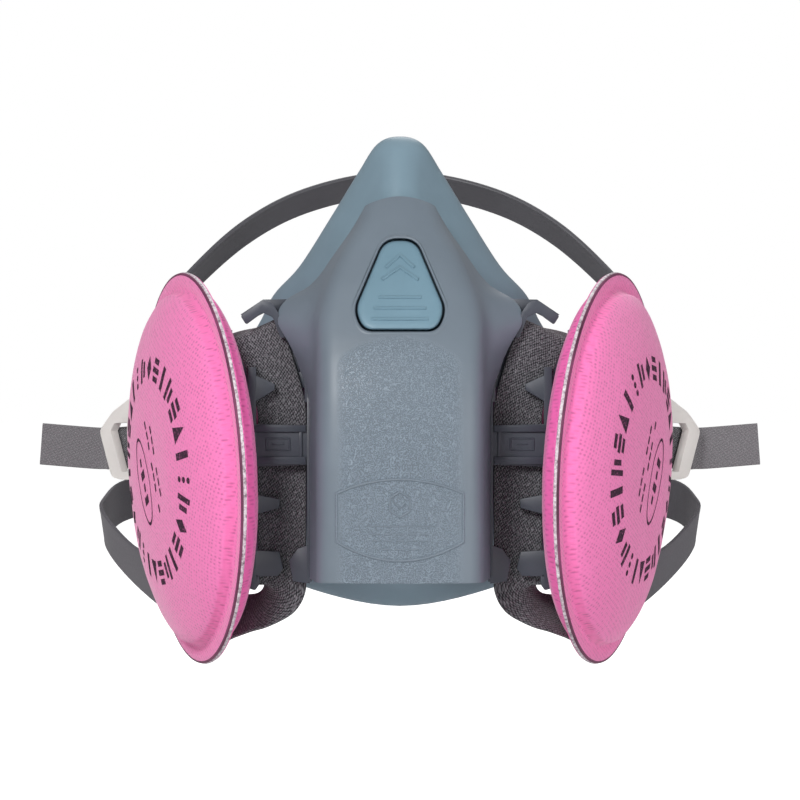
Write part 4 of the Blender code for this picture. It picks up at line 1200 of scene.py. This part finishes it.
# Low and high corners of the rails on the guide's middle bar, as x, height above the bar's face and z.
BAR_RAILS = [
    ((24.3, 0.7, -8.2), (37.6, -0.4, -6.5)),
    ((24.3, 0.7, -16.6), (37.6, -0.4, -14.7)),
    ((25.2, 0.45, -14.9), (26.0, -0.4, -8.0)),
]
BAR_FRAME = [(28.5, -9.9), (34.5, -9.9), (34.5, -12.9), (28.5, -12.9), (28.5, -9.9)]


def make_guide(name, side):
    refined(f"strap_guide_body_{name}", f"strap_guide_{name}", "guide", "root", 0.3, 2)

    def on_bar(x, z, lift):
        return Vector((side * x, BAR_FRONT - lift, z))

    bm = bmesh.new()
    for low, high in BAR_RAILS:
        low, high = [(x, BAR_FRONT - lift, z) for x, lift, z in (low, high)]
        add_block(bm, low, high, side=side)
    ridge(bm, BAR_FRAME, 0.5, 0.25, on_bar, True)
    ridge(bm, [(30, -11.4), (33, -11.4)], 0.5, 0.2, on_bar)
    for outline, ahead, behind in ((HOOK_OUTLINE, -2.7, -1.0), (HOOK_WEB, -1.2, 3.2), (GUSSET, -3.4, -0.9)):
        points = rounded(outline, 0.5, 3)
        skin(bm, [[Vector((side * x, STRAP_PLANE + y, z)) for x, z in points] for y in (ahead, behind)])
    panel = new_object(f"strap_guide_panel_{name}", bm, "guide", 40)
    add_bevel(panel, 0.18, 2, 45)
    bake(panel)
    settle(panel, "root", "guide_plastic")


def fold_stations():
    """The upper strap's turn over the fold bar."""
    across = Vector((0.913, 0, -0.407))
    up = Vector((0.407, 0, 0.913))
    middle = Vector((36.2, UPPER_FOLD.y, UPPER_FOLD.z + 0.45))
    radius = UPPER_FOLD.y - STRAP_PLANE
    stations = []
    for degrees in (172, 140, 110, 80, 55):
        angle = math.radians(degrees)
        reach = Vector((0, math.cos(angle), 0)) + up * math.sin(angle)
        stations.append((middle + radius * reach, across))
    return stations


def buckle_point(along, inwards):
    inner = BUCKLE_ALONG.cross(Vector((0, 0, 1))).normalized() * -1
    return BUCKLE_CENTRE + BUCKLE_ALONG * along + inner * inwards


LOWER_SIDE = [
    ((STRAP_CENTRE, STRAP_PLANE, -11.5), (1, 0, 0)),
    ((STRAP_CENTRE, STRAP_PLANE, -20), (1, 0, 0)),
    ((STRAP_CENTRE, STRAP_PLANE, -34), (1, 0, 0)),
    ((STRAP_CENTRE, STRAP_PLANE, -46), (1, 0, 0)),
    ((STRAP_CENTRE + 0.1, STRAP_PLANE, -48.6), (0.99, 0.05, 0.12)),
    ((31.9, -16.6, -51), (0.8, 0.5, 0.3)),
    ((35.6, -13.6, -54.1), (0.42, 0.85, 0.3)),
    ((41.2, -6.5, -56.7), (0.08, 0.8, 0.5)),
    ((48, 8.8, -57.8), (-0.05, 0.4, 0.9)),
    ((62, 45, -54.5), (-0.1, 0.05, 0.99)),
    ((77, 77, -48), (0.2, 0, 0.97)),
    ((87.2, 98, -39.5), (0.2, 0, 0.97)),
    ((88.6, 111, -35.2), (0.05, 0, 1)),
    ((84.5, 137, -30.8), (0, 0, 1)),
    ((67, 163, -28.2), (0, 0, 1)),
    ((40, 176.5, -27.1), (0, 0, 1)),
    ((12.5, 180.4, -27), (0, 0, 1)),
]
UPPER_SIDE = [
    ((STRAP_CENTRE, STRAP_PLANE, -11), (1, 0, 0)),
    ((STRAP_CENTRE, STRAP_PLANE, -3), (1, 0, 0)),
    ((32.2, STRAP_PLANE, 4), (0.97, 0, -0.2)),
    ((34.4, STRAP_PLANE - 0.05, 11), (0.925, 0, -0.37)),
]
UPPER_BACK = [
    ((37.8, -10.7, 17.6), (0.913, 0, -0.407)),
    ((41.2, -4, 15.8), (0.82, -0.1, -0.55)),
    ((49, 12, 12), (0.5, -0.1, -0.86)),
    ((58.5, 36, 6), (0.2, -0.05, -0.97)),
    ((67.2, 66, -4.2), (0.05, 0, -0.99)),
]
# Distances along the buckle and inwards from its middle.
INTO_BUCKLE = [(-17, 3.6), (-9.5, 2.8), (-3, 2.6), (8.8, 2.6)]
TAIL_ROOT = (9.9, 2.6)
TAIL_SIDE = [
    ((0, 0, 0), (0, 0, 1)),
    ((1.6, 1.5, 0.1), (0.03, 0, 1)),
    ((5.5, 2.9, 0.2), (0.08, 0, 1)),
    ((21.0, 5.0, 1.4), (0.16, 0, 1)),
]
STRAP_WIDTH = 12.6
STRAP_THICKNESS = 1.2
NECK_START = 9


def make_side_strap(kind, name, side, stations, material, spans=6):
    stations = mirrored(stations, side)
    return make_strap(f"strap_{kind}_{name}", stations, STRAP_WIDTH, STRAP_THICKNESS, spans, material)


def make_webbing(name, side):
    into_buckle = [(buckle_point(*place), (0, 0, -1)) for place in INTO_BUCKLE]
    upper = [*UPPER_SIDE, *fold_stations(), *UPPER_BACK, *into_buckle]
    strap = make_side_strap("upper", name, side, upper, "webbing")
    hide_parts(f"upper_strap_{name}")
    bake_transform(strap)
    lower = make_side_strap("lower", name, side, LOWER_SIDE, "webbing")
    lower.data.materials.append(MATERIALS["neck"])
    for face in lower.data.polygons:
        if face.center.y > LOWER_SIDE[NECK_START][0][1] * MM:
            face.material_index = 1
    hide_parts(f"side_webbing_{name}", f"neck_strap_{name}")
    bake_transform(lower)
    root = buckle_point(*TAIL_ROOT)
    tail = [(root + Vector(step), across) for step, across in TAIL_SIDE]
    end = make_side_strap("end", name, side, tail, "tail", 7)
    settle(end, f"strap_tail_{name}", "webbing", f"strap_tail_{name}")


# ---------------------------------------------------------------- cradle, buckles and clasp

CROWN_HALF = [
    (74.9, 92.5, 2.2), (75.2, 96.5, 9), (74.2, 102.5, 16), (69.4, 113.5, 28.5), (60.5, 125, 40),
    (48.2, 133, 51.5), (34, 141, 60.3), (17, 147, 66), (0, 149, 68),
]
REAR_HALF = [
    (71.4, 92.5, 2.2), (72.4, 101, -0.5), (72.6, 116, -4.5), (65.5, 143, -10.5), (49, 163, -15.5),
    (26, 173.5, -17.5),
    (0, 176.5, -18),
]


def band_stations(half, across_end, across_apex):
    stations = []
    last = len(half) - 1
    for k, point in enumerate(half):
        t = float(smooth_step(k / last * 1.6))
        stations.append((Vector(point), Vector(across_end).lerp(Vector(across_apex), t)))
    other = [(Vector((-c.x, c.y, c.z)), Vector((-w.x, w.y, w.z))) for c, w in stations[:-1]]
    return stations + other[::-1]


PIN_SECTION = [
    (0, -4.7), (2.1, -4.7), (2.1, -3.9), (1.25, -3.7), (1.25, 3.7), (1.6, 4.0), (1.6, 4.7), (0, 4.7),
]


def make_cradle():
    for name, half, end, apex, body in (
        ("crown_band", CROWN_HALF, (0, 1, -0.4), (0, 0.72, -0.69), "head_harness"),
        ("rear_band", REAR_HALF, (0, -0.3, -0.95), (0, 0.25, -0.97), "rear_band"),
    ):
        band = make_strap(f"{name}_strip", band_stations(half, end, apex), 10.0, 1.6, 7, "band", 0.5, 0.18)
        settle(band, body, "band_plastic", name)
    for name, side in SIDES.items():
        buckle = refined(f"buckle_frame_{name}", f"buckle_{name}", "buckle", "head_harness", 0.55, 4)
        bm = bmesh.new()
        add_turned(bm, PIN_SECTION, 40, 0.2)
        place = Matrix.Translation(Vector((side * PIN_MIDDLE, CRADLE_PIN.y, CRADLE_PIN.z)) * MM)
        turn = Matrix.Rotation(-side * math.pi / 2, 4, "Y")
        rivet = new_object(f"cradle_rivet_{name}", bm, "buckle", frame_of=place @ turn)
        settle(rivet, "head_harness", "buckle_plastic", f"cradle_pin_{name}")


def make_clasp():
    hook = refined("clasp_hook_body", "clasp_hook", "clasp", "clasp_hook", 0.4, 3)
    loop = refined("clasp_loop_body", "clasp_loop", "clasp", "neck_harness", 0.4, 3)
    bm = bmesh.new()
    back = CLASP.y + 3.8
    for k in range(4):
        x = -4.2 + 2.6 * k
        add_block(bm, (x, back - 0.3, CLASP.z - 3.8), (x + 1.0, back + 0.35, CLASP.z + 3.8))
    grips = new_object("clasp_finger_grips", bm, "clasp")
    add_bevel(grips, 0.25, 2, 40)
    bake(grips)
    settle(grips, "clasp_hook", "clasp_plastic")


# ---------------------------------------------------------------- stage, light and camera

CAMERA_DISTANCE = 0.8
CAMERA_LENS = 135.8
SENSOR = 36.0
SKY_STRENGTH = 0.3
FLOOR_GLOW = 0.77
# The neck straps swing this far below the mask.
FLOOR_DROP = 32.0
KEY_POWER = 8.6
FILL_POWER = 4.5
BACK_POWER = 4.0


def make_camera():
    camera = bpy.data.objects.new("camera", bpy.data.cameras.new("camera"))
    camera.data.lens = CAMERA_LENS
    camera.data.sensor_width = SENSOR
    camera.location = (0, -CAMERA_DISTANCE, 0)
    camera.rotation_euler = (math.pi / 2, 0, 0)
    camera.data.clip_start = 0.01
    camera.data.clip_end = 50
    bpy.context.scene.collection.objects.link(camera)
    bpy.context.scene.camera = camera


def add_light(name, place, target, size, power):
    light = bpy.data.lights.new(name, "AREA")
    light.shape = "DISK"
    light.size = size
    light.energy = power
    item = bpy.data.objects.new(name, light)
    item.location = place
    item.rotation_euler = (Vector(target) - Vector(place)).to_track_quat("-Z", "Y").to_euler()
    bpy.context.scene.collection.objects.link(item)


def make_sky():
    """A white sky for the camera that lights the object more softly than it looks."""
    world = bpy.data.worlds.new("sky")
    world.use_nodes = True
    tree = world.node_tree
    sky = tree.nodes["Background"]
    sky.inputs["Color"].default_value = (1, 1, 1, 1)
    sky.inputs["Strength"].default_value = SKY_STRENGTH
    seen = tree.nodes.new("ShaderNodeBackground")
    seen.inputs["Color"].default_value = (1, 1, 1, 1)
    path = tree.nodes.new("ShaderNodeLightPath")
    both = tree.nodes.new("ShaderNodeMixShader")
    tree.links.new(path.outputs["Is Camera Ray"], both.inputs[0])
    tree.links.new(sky.outputs[0], both.inputs[1])
    tree.links.new(seen.outputs[0], both.inputs[2])
    tree.links.new(both.outputs[0], tree.nodes["World Output"].inputs["Surface"])
    bpy.context.scene.world = world


def make_stage():
    """A pale floor that runs to the horizon under a white sky, and soft lights."""
    bm = bmesh.new()
    low = CAD_BOX[0].z / MM - FLOOR_DROP
    reach = 12000
    corners = [(-reach, -reach), (reach, -reach), (reach, reach), (-reach, reach)]
    bm.faces.new([bm.verts.new((x, y, low)) for x, y in corners])
    made, tree, shader = start_material("floor_pale", (0.85, 0.85, 0.85), 0.9, Specular_IOR_Level=0.0)
    shader.inputs["Emission Color"].default_value = (1, 1, 1, 1)
    seen = add_node(tree, "LightPath").outputs["Is Camera Ray"]
    glow = add_node(tree, "Math", {0: seen}, operation="MULTIPLY")
    glow.inputs[1].default_value = FLOOR_GLOW
    tree.links.new(glow.outputs["Value"], shader.inputs["Emission Strength"])
    MATERIALS["floor"] = made
    floor = new_object("floor", bm, "floor")
    make_sky()
    add_light("key", (-0.42, -1.0, 0.55), (0, 0.0, 0.0), 0.35, KEY_POWER)
    add_light("fill", (0.7, -0.9, 0.15), (0, 0.02, 0), 0.8, FILL_POWER)
    add_light("back", (0.1, 0.8, 0.9), (0, 0.1, 0), 0.8, BACK_POWER)
    bpy.context.scene.view_settings.view_transform = "Standard"


def main():
    make_camera()
    make_stage()
    make_seal()
    make_cover()
    make_window_pad()
    make_valve()
    for name, side in SIDES.items():
        make_port(name, side)
        make_filter(name, side)
        make_guide(name, side)
        make_webbing(name, side)
    make_cradle()
    make_clasp()


main()
